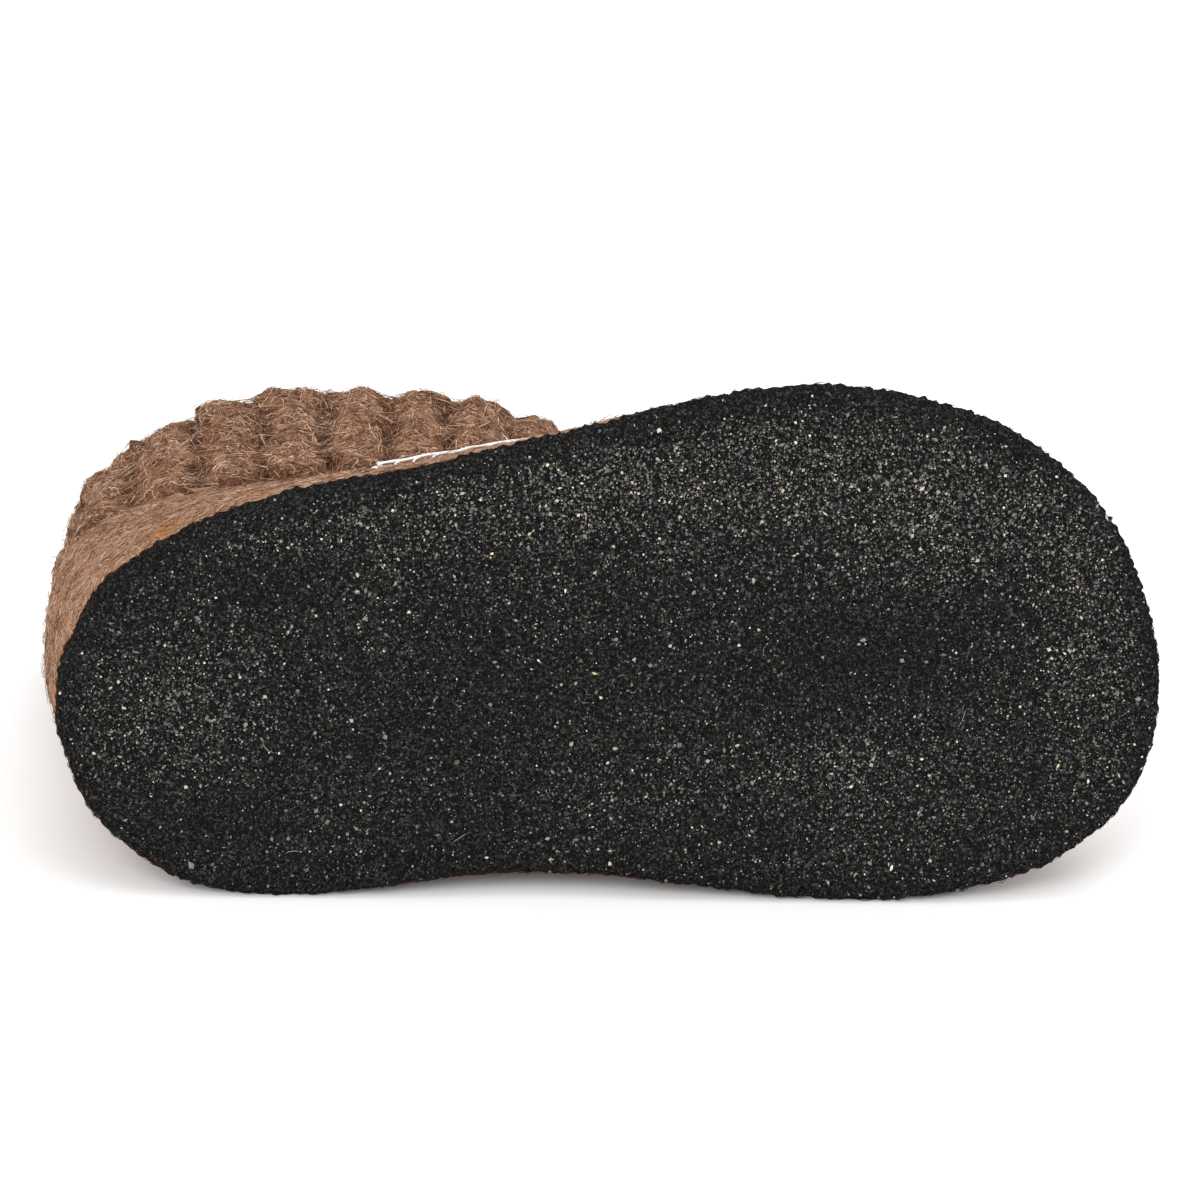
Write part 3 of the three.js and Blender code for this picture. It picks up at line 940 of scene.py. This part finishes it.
class SLIPPER_OT_outsole(bpy.types.Operator):
    """Felt outsole with its rolled rim, and the short hair on it"""

    bl_idname = "slipper.outsole"
    bl_label = "Outsole"

    def execute(self, context):
        settings = context.scene.slipper_sole
        last = context.scene.slipper_last
        piece = copy_of("outsole", "sole_felt")
        rounded(piece, 2)
        even_mesh(piece, settings.mesh_step)
        edge = SoleEdge(last)
        places = to_shoe(corners(piece))
        inset, walked = edge.find(places)
        side = 1 - np.abs(facings(piece)[:, 2])
        uneven = field(places, 5 * MM, 2)
        scallop = 0.5 + 0.5 * np.cos(2 * math.pi * walked / settings.scallop + 3 * uneven)
        reach = settings.rim_reach / MM + zoned(places, RIM_ZONES)
        pressed(piece, held(reach) * side, 1 * MM)
        pressed(piece, held(-reach) * side, -1 * MM)
        pressed(piece, held(side * scallop * (0.7 + uneven)), settings.scallop_depth)
        down = places[:, 2] - underside(last, places[:, 0]) < 2.2 * MM
        groove = bell(inset - 2.8 * MM, 0.8 * MM) * down
        inner_side = np.clip(places[:, 1] / (20 * MM), 0.25, 1)
        pressed(piece, groove * inner_side, -settings.groove_depth)
        worn = down * held((inset - 4 * MM) / (12 * MM)) ** 1.3
        pressed(piece, worn, -settings.wear_depth)
        lumps(piece, 3.2 * MM, 0.42 * MM, 1)
        lumps(piece, 1.1 * MM, 0.5 * MM, 2)
        places = to_shoe(corners(piece))
        inset, _walked = edge.find(places)
        # The dust's density follows the crumb's zones, so its flecks hold painted light and shade as well
        # as real dust
        write_attribute(piece, "dust", np.clip(crumb_and_light_weight(places, inset) * 0.9, 0.2, 1.5))
        near_rim = held(1.1 - inset / (1.1 * MM))
        wool_side = held(places[:, 1] / (12 * MM)) + held(1 - places[:, 0] / (14 * MM))
        upright = held(1.3 * (1 - np.abs(facings(piece)[:, 2])) - 0.3)
        write_attribute(piece, "tint", near_rim * upright * held(wool_side))
        finished(piece, sole_material(settings), "outsole")

        chance = np.random.default_rng(SEEDS["sole"])
        skin = Skin(piece)
        count = settings.hairs
        spots, normals = skin.scatter(count, lambda at, facing: 0.2 + 1.6 * (facing[:, 2] > -0.7), chance)
        angles = chance.uniform(0, FULL_TURN, count)
        lengths = chance.gamma(3.0, 0.4 * MM, count) + 0.5 * MM
        tones = held(chance.normal(0.08, 0.06, count))
        tones[:40] = chance.uniform(0.35, 0.65, 40)
        for index, (x, y, heading, length, tone) in enumerate(PALE_HAIRS):
            start = Vector(to_world([(x * MM, y * MM, 1 * MM)])[0])
            spots[index], normals[index], _face, _distance = skin.tree.find_nearest(start)
            angles[index] = math.radians(heading)
            lengths[index] = length * MM
            tones[index] = tone
        lift = np.abs(chance.normal(0, 0.16 * MM, count))
        paths = laid_strands(skin, spots, normals, np.array(TOE), angles, chance, lengths, 0.5, lift)
        hair = spun("sole_hair", paths, np.full(count, 0.04 * MM), tones)
        finished(hair, grain_material(settings))
        return {"FINISHED"}


class SLIPPER_OT_crumb(bpy.types.Operator):
    """Rubber crumb pressed into the underside, thick and thin partly as worn and partly as painted light
    and shade
    """

    bl_idname = "slipper.crumb"
    bl_label = "Crumb"

    def execute(self, context):
        settings = context.scene.slipper_sole
        chance = np.random.default_rng(SEEDS["crumb"])
        skin = Skin(bpy.data.objects["sole_felt"])
        edge = SoleEdge(context.scene.slipper_last)

        def pale_weight(places, normals):
            return crumb_and_light_weight(places, edge.find(places)[0]) * looks_down(normals)

        pale, pale_normals = skin.scatter(settings.grains, pale_weight, chance)
        dark, dark_normals = skin.scatter(
            settings.dark_grains, lambda places, normals: np.where(normals[:, 2] < 0.5, 1.0, 0.0), chance
        )
        pale_radii = settings.grain_size * chance.lognormal(0, 0.42, len(pale))
        dark_radii = settings.grain_size * chance.lognormal(0.1, 0.3, len(dark))
        pale_tones = np.clip(chance.beta(1.4, 3.0, len(pale)), 0.08, 1)
        dark_tones = chance.uniform(0, 0.14, len(dark))
        piece = grains(
            "sole_crumb",
            np.concatenate([pale, dark]),
            np.concatenate([pale_normals, dark_normals]),
            np.minimum(np.concatenate([pale_radii, dark_radii]), 0.42 * MM),
            np.concatenate([pale_tones, dark_tones]),
            chance,
        )
        laid_down(piece)
        piece.data.materials.append(grain_material(settings))
        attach(piece, BODY)
        return {"FINISHED"}


class SLIPPER_OT_insole(bpy.types.Operator):
    """Thick felt insole, with a hollow under heel and ball"""

    bl_idname = "slipper.insole"
    bl_label = "Insole"

    def execute(self, context):
        settings = context.scene.slipper_sole
        piece = copy_of("insole", "insole_felt")
        rounded(piece, 2)
        even_mesh(piece, 1.1 * MM)
        places = to_shoe(corners(piece))
        upper_face = (places[:, 2] > 6.4 * MM).astype(float)
        hollows = blob(places / MM, 24, 0, 16, 14) + blob(places / MM, 104, 4, 22, 20)
        pressed(piece, held(hollows) * upper_face, -0.7 * MM)
        lumps(piece, 4 * MM, 0.3 * MM, 3)
        wool = settings.insole
        colours = (toned(wool, 0.6), wool, toned(wool, 1.45))
        finished(piece, felt_material("Insole felt", colours, 420.0), "insole")

        chance = np.random.default_rng(SEEDS["insole"])
        skin = Skin(piece)
        count = settings.insole_hairs
        spots, normals = skin.scatter(count, lambda at, facing: held(facing[:, 2]) + 0.01, chance)
        angles = chance.uniform(0, FULL_TURN, count)
        lengths = chance.gamma(4, 0.7 * MM, count) + 1 * MM
        lift = np.abs(chance.normal(0, 0.2 * MM, count))
        paths = laid_strands(skin, spots, normals, np.array(TOE), angles, chance, lengths, 0.6, lift)
        tones = held(chance.normal(0.5, 0.2, count))
        hair = spun("insole_hair", paths, np.full(count, 0.05 * MM), tones)
        finished(hair, strand_material("Insole hair", colours))
        return {"FINISHED"}


# Wool of the upper

# Soft troughs (depth above 0) and ridges of the felt, in millimetres: x and z of the middle, side
# of the shoe, reach, width, slope and depth
CREASES = [
    (86, 38, -1, 15, 4.0, 0.5, 0.9),
    (90, 36, 1, 14, 4.0, 0.45, 0.9),
    (99, 30, -1, 12, 3.5, 0.3, 0.6),
    (103, 29, 1, 12, 3.5, 0.3, 0.6),
    (34, 20, -1, 18, 6.0, -0.1, 0.5),
    (32, 20, 1, 18, 6.0, -0.1, 0.5),
    (60, 14, -1, 24, 5.0, 0.05, -0.5),
    (58, 13, 1, 24, 5.0, 0.05, -0.5),
]


def crease_weight(places, middle_x, middle_z, side, reach, width, slope):
    """Weight of one crease on the side wall of the upper."""
    x, z = places[:, 0] / MM - middle_x, places[:, 2] / MM - middle_z
    off_line = (z - slope * x) / width
    along = x / reach
    right_side = held(places[:, 1] / MM * side / 10)
    return np.exp(-(off_line**2) - along**2) * right_side


def off_midline(places):
    """Level way to places from the middle line of the foot, which ends in the heel and the ball."""
    middle = np.stack([np.clip(places[:, 0], 25 * MM, 120 * MM), np.zeros(len(places))], axis=1)
    return places[:, :2] - middle


def body_flow(places):
    """Direction of the felted fibres: round the foot, level."""
    out = off_midline(places)
    level = np.stack([-out[:, 1], out[:, 0], np.zeros(len(places))], axis=1)
    return unit(level) @ SHOE_AXES


class SLIPPER_OT_upper(bpy.types.Operator):
    """Fulled wool upper with its soft creases and its coat of strands"""

    bl_idname = "slipper.upper"
    bl_label = "Upper"

    def execute(self, context):
        settings = context.scene.slipper_wool
        piece = copy_of("upper", "body_felt")
        rounded(piece, 1)
        even_mesh(piece, settings.body_mesh_step)
        places = to_shoe(corners(piece))
        for *crease, depth in CREASES:
            pressed(piece, crease_weight(places, *crease), -depth * MM)
        heel = bell(np.clip(places[:, 0], 0, None), 9 * MM)
        pressed(piece, heel * held(places[:, 2] / (14 * MM) - 1), -0.7 * MM)
        pressed(piece, heel * held(1.6 - places[:, 2] / (8 * MM)), 0.5 * MM)
        lumps(piece, 6 * MM, 0.5 * MM, 4)
        lumps(piece, 1.8 * MM, 0.3 * MM, 5)
        colours = (settings.body_dark, settings.body_middle, settings.body_light)
        finish = felt_material("Body felt", colours, 430.0, ochre=settings.ochre)
        finished(piece, finish, "upper")

        chance = np.random.default_rng(SEEDS["upper"])
        skin = Skin(piece)

        def weight(at, facing):
            outward = np.sum(off_midline(at) * facing[:, :2], axis=1) > 0
            outside = np.where(outward | (facing[:, 2] > 0.5), 1.0, 0.12)
            shown = 1 + 1.6 * (at[:, 1] < 0) * bell(at[:, 0] - 12 * MM, 38 * MM)
            hidden = (at[:, 1] < -10 * MM) * (at[:, 0] > 62 * MM) * (at[:, 2] < 16 * MM)
            seam_strip = (at[:, 1] < 0) * (at[:, 2] < 9 * MM) * (at[:, 0] > 26 * MM)
            return outside * shown * (facing[:, 2] > -0.8) * (1 - 0.93 * hidden) * (1 - 0.5 * seam_strip)

        count = settings.body_strands
        spots, normals = skin.scatter(count, weight, chance)
        wild = chance.random(count) < 0.85
        angles = np.where(wild, chance.uniform(0, FULL_TURN, count), chance.normal(0, 0.8, count))
        flow = body_flow(to_shoe(spots))
        lengths = chance.gamma(4.0, 0.5 * MM, count) + 0.7 * MM
        loose, lift = strand_lifts(chance, count, 0.25, (0.3, 1.1), 0.3)
        paths = laid_strands(skin, spots, normals, flow, angles, chance, lengths, 1.6, lift)
        tones = held(chance.normal(0.55, 0.3, count))
        radii = settings.strand * chance.uniform(0.6, 1.2, count)
        hair = spun("body_hair", paths, np.where(loose, 0.04 * MM, radii), tones)
        finished(hair, strand_material("Body hair", colours, ochre=settings.ochre))
        return {"FINISHED"}


# Knit of the cuff


def crease_valleys(piece):
    """Keeps the grooves between the ribs sharp when the cuff is subdivided."""
    mesh = piece.data
    centres = np.array([face.center[:] for face in mesh.polygons])
    normals = np.array([face.normal[:] for face in mesh.polygons])
    faces_of = {}
    for face in mesh.polygons:
        for key in face.edge_keys:
            faces_of.setdefault(key, []).append(face.index)
    sharp = np.zeros(len(mesh.edges), np.float32)
    for edge in mesh.edges:
        pair = faces_of.get(edge.key, [])
        if len(pair) == 2:
            across = centres[pair[1]] - centres[pair[0]]
            hollow = across @ normals[pair[0]] > 0.3 * np.linalg.norm(across)
            sharp[edge.index] = 0.8 if hollow else 0
    crease = mesh.attributes.new("crease_edge", "FLOAT", "EDGE")
    crease.data.foreach_set("value", sharp)


def rib_places(cuff, last, places):
    """Share of the way round, place across the rib from -1 to 1, level up the knit, outwards and up it."""
    way, level, outwards, upwards = cuff.find(places)
    ribs = way * last.rib_count
    return way, (ribs - np.floor(ribs)) * 2 - 1, level, outwards, upwards


# How far the knit swells (or sinks) at shares of the way round the cuff, in millimetres
RIM_SWELL = [
    (0.0, -0.4), (0.03, -0.9), (0.058, 0.1), (0.07, -1.8), (0.079, -2.0), (0.088, -0.6),
    (0.104, 0.9), (0.113, 0.0), (0.125, -0.6), (0.138, -0.3), (0.146, 0.6), (0.153, 1.9),
    (0.161, 1.4), (0.169, 0.8), (0.177, 0.4), (0.19, -0.1), (0.2, 1.5), (0.208, 1.5),
    (0.216, 1.1), (0.223, 0.6), (0.231, 0.3), (0.25, 0.0), (0.275, -0.2), (0.29, -0.5),
    (0.34, -0.5), (0.355, 0.1), (0.38, 0.1), (0.396, 0.8), (0.41, 0.3), (0.43, 0.7),
    (0.45, 0.0), (1.0, 0.0),
]


def rim_swell(way, level):
    """Outward swell of the knit at shares of the way round, strongest at the rim."""
    ways, swells = np.array(RIM_SWELL).T
    return np.interp(way, ways, swells) * held(level) ** 1.5


def stitch_relief(way, across, level, last, settings):
    """Height of the knit's loops over a rib, from 0 to 1: two legs that meet in a V on each row."""
    rows = last.cuff_heel / settings.stitch_pitch
    phase = level * rows + 0.42 * np.abs(across) + 0.5 * (np.floor(way * last.rib_count) % 2)
    row = 0.5 + 0.5 * np.cos(2 * math.pi * phase)
    leg = held(1 - bell(across, 0.14) * 0.7)
    return row * leg * (1 - across**4)


class SLIPPER_OT_cuff(bpy.types.Operator):
    """Ribbed knit cuff with its loops and its coat of strands"""

    bl_idname = "slipper.cuff"
    bl_label = "Cuff"

    def execute(self, context):
        settings = context.scene.slipper_wool
        last = context.scene.slipper_last
        piece = copy_of("cuff", "rib_knit")
        crease_valleys(piece)
        rounded(piece, 2)
        even_mesh(piece, settings.knit_mesh_step)
        cuff = CuffMap(last)
        places = to_shoe(corners(piece))
        way, across, level, outwards, _ = rib_places(cuff, last, places)
        outside = held((outwards + 0.4 * MM) / (0.8 * MM))
        relief = stitch_relief(way, across, level, last, settings)
        swell = rim_swell(way, level) * held((outwards + 2.6 * MM) / (2.6 * MM))
        pressed(piece, held(swell / 2), 2 * MM)
        pressed(piece, held(-swell / 2), -2 * MM)
        broad = field(places, 4.5 * MM, 3)
        fine = field(places, 1.7 * MM, 4)
        valley = bell(1 - np.abs(across), 0.3)
        pressed(piece, held(valley * outside * (0.8 + 0.9 * broad)), settings.valley_fill)
        pressed(piece, (1 - relief) * outside * (0.75 + 0.25 * fine), -settings.loop_depth)
        pressed(piece, held(0.5 + broad + 0.5 * fine) * outside, settings.fluff)
        pressed(piece, outside * held(level * 3), -0.3 * MM)
        pit = valley * (level > 0.05) * held(-1.2 * fine - 0.9 * broad + 0.25) * outside
        pressed(piece, held(pit), -settings.pit_depth)
        lumps(piece, 1.3 * MM, 0.5 * MM, 7)
        # Painted shade for the knit: darker between the loops, in the valleys and pits between the ribs,
        # and along the foot where the cuff meets the upper
        foot = bell(level - 0.03, 0.06) * held(0.7 + 1.5 * fine)
        hollow = 0.3 * (1 - relief) + 0.25 * valley + 1.3 * pit - 0.3 * fine + 0.9 * foot
        write_attribute(piece, "hollow", np.clip(hollow, 0, 0.95) * outside)
        colours = (settings.knit_dark, settings.knit_middle, settings.knit_light)
        finish = felt_material("Rib knit", colours, 480.0, shadow=settings.knit_shadow)
        finished(piece, finish, "cuff")

        chance = np.random.default_rng(SEEDS["cuff"])
        skin = Skin(piece)

        def weight(at, facing):
            _way, _level, outwards, _up = cuff.find(at)
            outside = np.where(outwards > -1 * MM, 1.0, 0.2)
            shown = 1 + 1.2 * (at[:, 1] < 0) * bell(at[:, 0] - 34 * MM, 36 * MM)
            return outside * shown

        count = settings.knit_strands
        spots, normals = skin.scatter(count, weight, chance)
        way, across, level, outwards, upwards = rib_places(cuff, last, to_shoe(spots))
        wild = chance.random(count) < 0.5
        slant = np.sign(across) * 0.75 * (outwards > -0.5 * MM) + chance.normal(0, 0.6, count)
        slant = np.where(wild, chance.uniform(0, FULL_TURN, count), slant)
        up_rib = upwards @ SHOE_AXES
        lengths = chance.gamma(4.0, 0.6 * MM, count) + 0.7 * MM
        loose, lift = strand_lifts(chance, count, 0.28, (0.4, 1.4), 0.4)
        paths = laid_strands(skin, spots, normals, up_rib, slant, chance, lengths, 1.1, lift)
        # Painted light and shade on the strands: lighter over the raised loops, darker in the valleys
        # between the ribs and along the foot
        relief = stitch_relief(way, across, level, last, settings)
        hidden = bell(1 - np.abs(across), 0.2) * held(-field(to_shoe(spots), 3 * MM, 5) + 0.4)
        at_foot = bell(level - 0.03, 0.05)
        tone_middle = 0.47 + 0.15 * relief - 0.4 * hidden - 0.22 * at_foot
        tones = held(chance.normal(0, 0.36, count) + tone_middle)
        radii = settings.strand * chance.uniform(0.6, 1.25, count)
        hair = spun("knit_hair", paths, np.where(loose, 0.042 * MM, radii), tones)
        finished(hair, strand_material("Knit hair", colours))
        return {"FINISHED"}


# Seam and patch


class SLIPPER_OT_seam(bpy.types.Operator):
    """Overcast yarn loops and stray wool where the upper is sewn to the outsole"""

    bl_idname = "slipper.seam"
    bl_label = "Seam"

    def execute(self, context):
        settings = context.scene.slipper_wool
        last = context.scene.slipper_last
        chance = np.random.default_rng(SEEDS["seam"])
        skin = Skin(bpy.data.objects["body_felt"])
        edge = SoleEdge(last)
        loops = round(edge.length / settings.seam_pitch)
        steps = 14
        walked = (np.arange(loops) + chance.uniform(-0.12, 0.12, loops)) * edge.length / loops
        seam, forward = edge.at(walked)
        inward = np.stack([-forward[:, 1], forward[:, 0], np.zeros(loops)], axis=1)
        plain = held((seam[:, 0] - 24 * MM) / (10 * MM)) * (seam[:, 1] < 0)
        wide = 0.95 * MM * chance.uniform(0.8, 1.2, loops)
        tall = 1.15 * MM * chance.uniform(0.7, 1.2, loops) * (0.5 + 0.5 * plain)
        paths = np.empty((loops, steps, 3))
        for step, angle in enumerate(np.linspace(0, 2 * math.pi, steps) - 1.2):
            point = seam + inward * 1.0 * MM
            point = point + forward * (wide * (math.cos(angle) + 0.5 * math.sin(angle)))[:, None]
            point[:, 2] += tall * math.sin(angle) + 2.1 * MM
            lift = (0.5 * MM + 0.25 * MM * math.cos(angle)) * (0.3 + 0.7 * plain)
            paths[:, step] = skin.settle(to_world(point), lift)
        tones = held(chance.normal(0.48, 0.12, loops) + 0.14 * plain)
        piece = spun("seam_yarn", paths, np.full(loops, settings.yarn), tones, around=6)
        colours = (settings.body_dark, settings.body_middle, settings.body_light)
        finished(piece, strand_material("Seam yarn", colours))

        rim = Skin(bpy.data.objects["sole_felt"])

        def weight(at, facing):
            high = at[:, 2] - underside(last, at[:, 0]) > 1.8 * MM
            wool_side = held(at[:, 1] / (10 * MM)) + held(1 - at[:, 0] / (16 * MM))
            return high * (np.abs(facing[:, 2]) < 0.8) * (0.12 + wool_side)

        count = settings.rim_strands
        spots, normals = rim.scatter(count, weight, chance)
        _inset, walked = edge.find(to_shoe(spots))
        along = edge.at(walked)[1] @ SHOE_AXES
        angles = chance.normal(0, 0.6, count)
        lengths = chance.gamma(3.0, 0.5 * MM, count) + 0.6 * MM
        lift = np.abs(chance.normal(0, 0.2 * MM, count))
        paths = laid_strands(rim, spots, normals, along, angles, chance, lengths, 0.7, lift)
        tones = held(chance.normal(0.2, 0.2, count))
        hair = spun("rim_hair", paths, np.full(count, 0.055 * MM), tones)
        shades = [toned(settings.knit_shadow, share_of) for share_of in (0.35, 0.7, 1.6)]
        finished(hair, strand_material("Rim hair", shades))
        return {"FINISHED"}


def patch_material(settings):
    """Finely woven pale tape."""
    made, tree, shader, place = new_material("Patch cloth", 0.75, sheen=0.15)
    weave = [
        add_node(
            tree,
            "ShaderNodeTexWave",
            {"Vector": place, "Scale": 900.0, "Distortion": 0.4},
            wave_type="BANDS",
            bands_direction=direction,
        ).outputs["Fac"]
        for direction in ("X", "Z")
    ]
    height = maths(tree, "MULTIPLY", *weave)
    paint = mixed(tree, height, toned(settings.cloth, 0.86), settings.cloth)
    paint = mixed(tree, attribute(tree, "rim"), paint, settings.rim)
    tree.links.new(paint, shader.inputs["Base Color"])
    bumped(tree, shader, height, 0.35, 0.1 * MM)
    return made


def thread_material(settings):
    """White twisted thread."""
    made, tree, shader, place = new_material("White thread", 0.6, sheen=0.2)
    twist = cloud(tree, place, 3000.0, detail=1)
    paint = mixed(tree, twist, toned(settings.thread, 0.82), settings.thread)
    tree.links.new(paint, shader.inputs["Base Color"])
    bumped(tree, shader, twist, 0.4, 0.08 * MM)
    return made


def patch_edge(settings, along, across):
    """Place (x, z) on the patch from its middle: along and across run from -1 to 1."""
    x = settings.from_heel + settings.length * (along + 1) / 2
    foot = settings.foot + settings.rise * (along + 1) / 2
    narrow = 1 - 0.35 * abs(along) ** 8
    return x, foot + settings.height * (1 + across * narrow) / 2


class SLIPPER_OT_patch(bpy.types.Operator):
    """Bare patch and the thread that overcasts it"""

    bl_idname = "slipper.patch"
    bl_label = "Patch"

    def execute(self, context):
        settings = context.scene.slipper_patch
        piece = copy_of("patch", "bare_patch")
        worked(piece, "BEVEL", width=0.12 * MM, segments=2, limit_method="ANGLE")
        rounded(piece, 2)
        places = to_shoe(corners(piece))
        forward = (places[:, 0] - settings.from_heel) / settings.length
        above_edge = places[:, 2] - settings.foot - settings.rise * forward
        write_attribute(piece, "rim", held(1.6 - above_edge / (1.2 * MM)))
        finished(piece, patch_material(settings), "patch")

        wall = Skin(bpy.data.objects["body_felt"])
        outward = -INNER

        def on_wall(x, z, lift):
            start = Vector(to_world([(x, -80 * MM, z)])[0])
            place, normal, _face, _distance = wall.tree.ray_cast(start, INNER)
            if place is None:
                raise RuntimeError("the patch's thread misses the upper")
            return np.array(place) + np.array((normal + outward).normalized()) * lift

        def hem_place(along, way=0.0):
            """Point of the hem, or of an arch that leaves it, which sinks towards the toe."""
            x, z = patch_edge(settings, along, -1)
            sunk = ((along + 1) / 2) ** 0.7
            back = 2.1 * MM * math.sin(1.57 * way)
            low = (0.5 + 1.5 * sunk + 3.6 * way**2.6) * MM
            lift = (1.35 - 0.58 * sunk - 0.95 * way**2.2) * MM
            return on_wall(x - back, z - low, lift)

        hem = np.array([[hem_place(along) for along in np.linspace(-1, 1, 64)]])
        cord = spun("patch_hem", hem, np.array([settings.hem_radius]), np.array([0.5]), around=8)
        finished(cord, thread_material(settings))

        stitches = []
        paths = []
        steps = 9
        rows = round(settings.length / settings.pitch)
        for index in range(rows):
            along = -0.96 + 1.92 * (index + 0.5) / rows
            stitches.append(((along, 1), (0.0, 1.0)))
            paths.append([hem_place(along, way) for way in np.linspace(0, 1, steps)])
        ends = round(settings.height / settings.pitch)
        for index in range(ends):
            across = -0.7 + 1.4 * (index + 0.5) / ends
            for edge in (-1, 1):
                stitches.append(((float(edge), across), (float(edge), 0.0)))
        inset = 1.1 * MM
        outset = 1.6 * MM
        slant = 0.5 * settings.pitch
        for (along, across), (out_x, out_z) in stitches:
            x, z = patch_edge(settings, along, across)
            path = []
            for way in np.linspace(0, 1, steps):
                off = -inset + (inset + outset) * way
                beside = slant * (way - 0.5) * (1 if out_x + out_z < 0 else -1)
                px = x + out_x * off + abs(out_z) * beside
                pz = z + out_z * off + abs(out_x) * beside
                fall = min(max((way - 0.42) / 0.5, 0), 1)
                lift = 0.98 * MM - 1.05 * MM * fall * fall * (3 - 2 * fall)
                path.append(on_wall(px, pz, lift))
            paths.append(path)
        paths = np.array(paths)
        tones = np.full(len(paths), 0.5)
        thread = spun("patch_thread", paths, np.full(len(paths), settings.thread_radius), tones, around=6)
        finished(thread, thread_material(settings))
        return {"FINISHED"}


# Stage


CAMERA_AIM = Vector((-0.65, -21.99, 37.0)) * MM
LIGHTS_AIM = (0, 0, 0.035)
LIGHTS = [
    ("key", (-0.55, -0.85, 0.75), 9.0, 0.7),
    ("top", (0.1, 0.1, 1.2), 7.0, 1.2),
    ("fill", (0.8, -0.5, 0.35), 2.0, 0.6),
]


def area_light(name, place, aim, energy, width):
    """A square soft light that looks at a point."""
    light = bpy.data.lights.new(name, "AREA")
    light.energy = energy
    light.size = width
    lamp = bpy.data.objects.new(name, light)
    bpy.context.scene.collection.objects.link(lamp)
    lamp.location = place
    lamp.rotation_euler = (Vector(aim) - Vector(place)).to_track_quat("-Z", "Y").to_euler()


class SLIPPER_OT_stage(bpy.types.Operator):
    """Pale floor, soft light and the camera"""

    bl_idname = "slipper.stage"
    bl_label = "Stage"

    def execute(self, context):
        settings = context.scene.slipper_stage
        leave_edit_mode()
        bpy.ops.mesh.primitive_circle_add(vertices=96, radius=20, fill_type="NGON", location=(0, 0, 0))
        floor = context.object
        floor.name = "floor"
        finish, _tree, shader, _place = new_material("Pale floor", 0.9)
        shader.inputs["Base Color"].default_value = (*settings.floor, 1)
        floor.data.materials.append(finish)
        scene = context.scene
        scene.world = scene.world or bpy.data.worlds.new("Sky")
        scene.world.use_nodes = True
        sky = scene.world.node_tree.nodes["Background"]
        sky.inputs["Color"].default_value = (1, 1, 1, 1)
        sky.inputs["Strength"].default_value = settings.sky
        scene.view_settings.view_transform = "Standard"
        for name, place, watts, width in LIGHTS:
            area_light(name, place, LIGHTS_AIM, watts, width)

        level_back = Vector((math.sin(settings.azimuth), -math.cos(settings.azimuth), 0))
        back = level_back * math.cos(settings.elevation) + Vector((0, 0, math.sin(settings.elevation)))
        camera = bpy.data.objects.new("camera", bpy.data.cameras.new("camera"))
        scene.collection.objects.link(camera)
        camera.data.lens = settings.lens
        camera.data.clip_start = 0.01
        level = (-back).to_track_quat("-Z", "Y").to_matrix().to_4x4()
        rolled = level @ Matrix.Rotation(settings.roll, 4, "Z")
        camera.matrix_world = Matrix.Translation(CAMERA_AIM + back * settings.distance) @ rolled
        scene.camera = camera
        return {"FINISHED"}


class SLIPPER_PT_panel(bpy.types.Panel):
    """Buttons that build the slipper piece by piece"""

    bl_idname = "SLIPPER_PT_panel"
    bl_label = "Felted slipper"
    bl_space_type = "VIEW_3D"
    bl_region_type = "UI"
    bl_category = "Slipper"

    def draw(self, context):
        for operator in OPERATORS:
            self.layout.operator(operator.bl_idname)
        for name in SETTINGS:
            box = self.layout.box()
            group = getattr(context.scene, name)
            for key in group.__annotations__:
                box.prop(group, key)


SETTINGS = {
    "slipper_last": SlipperLast,
    "slipper_sole": SlipperSole,
    "slipper_wool": SlipperWool,
    "slipper_patch": SlipperPatch,
    "slipper_stage": SlipperStage,
}
OPERATORS = [
    SLIPPER_OT_outsole,
    SLIPPER_OT_crumb,
    SLIPPER_OT_insole,
    SLIPPER_OT_upper,
    SLIPPER_OT_cuff,
    SLIPPER_OT_seam,
    SLIPPER_OT_patch,
    SLIPPER_OT_stage,
]


def register():
    """Adds the settings, operators and panel to Blender."""
    for group in SETTINGS.values():
        bpy.utils.register_class(group)
    for name, group in SETTINGS.items():
        setattr(bpy.types.Scene, name, bpy.props.PointerProperty(type=group))
    for operator in (*OPERATORS, SLIPPER_PT_panel):
        bpy.utils.register_class(operator)


def unregister():
    """Takes them out again."""
    for operator in (SLIPPER_PT_panel, *reversed(OPERATORS)):
        bpy.utils.unregister_class(operator)
    for name, group in SETTINGS.items():
        delattr(bpy.types.Scene, name)
        bpy.utils.unregister_class(group)


def main():
    """Builds the whole slipper."""
    register()
    bpy.ops.slipper.outsole()
    bpy.ops.slipper.crumb()
    bpy.ops.slipper.insole()
    bpy.ops.slipper.upper()
    bpy.ops.slipper.cuff()
    bpy.ops.slipper.seam()
    bpy.ops.slipper.patch()
    bpy.ops.slipper.stage()


if __name__ == "__main__":
    main()
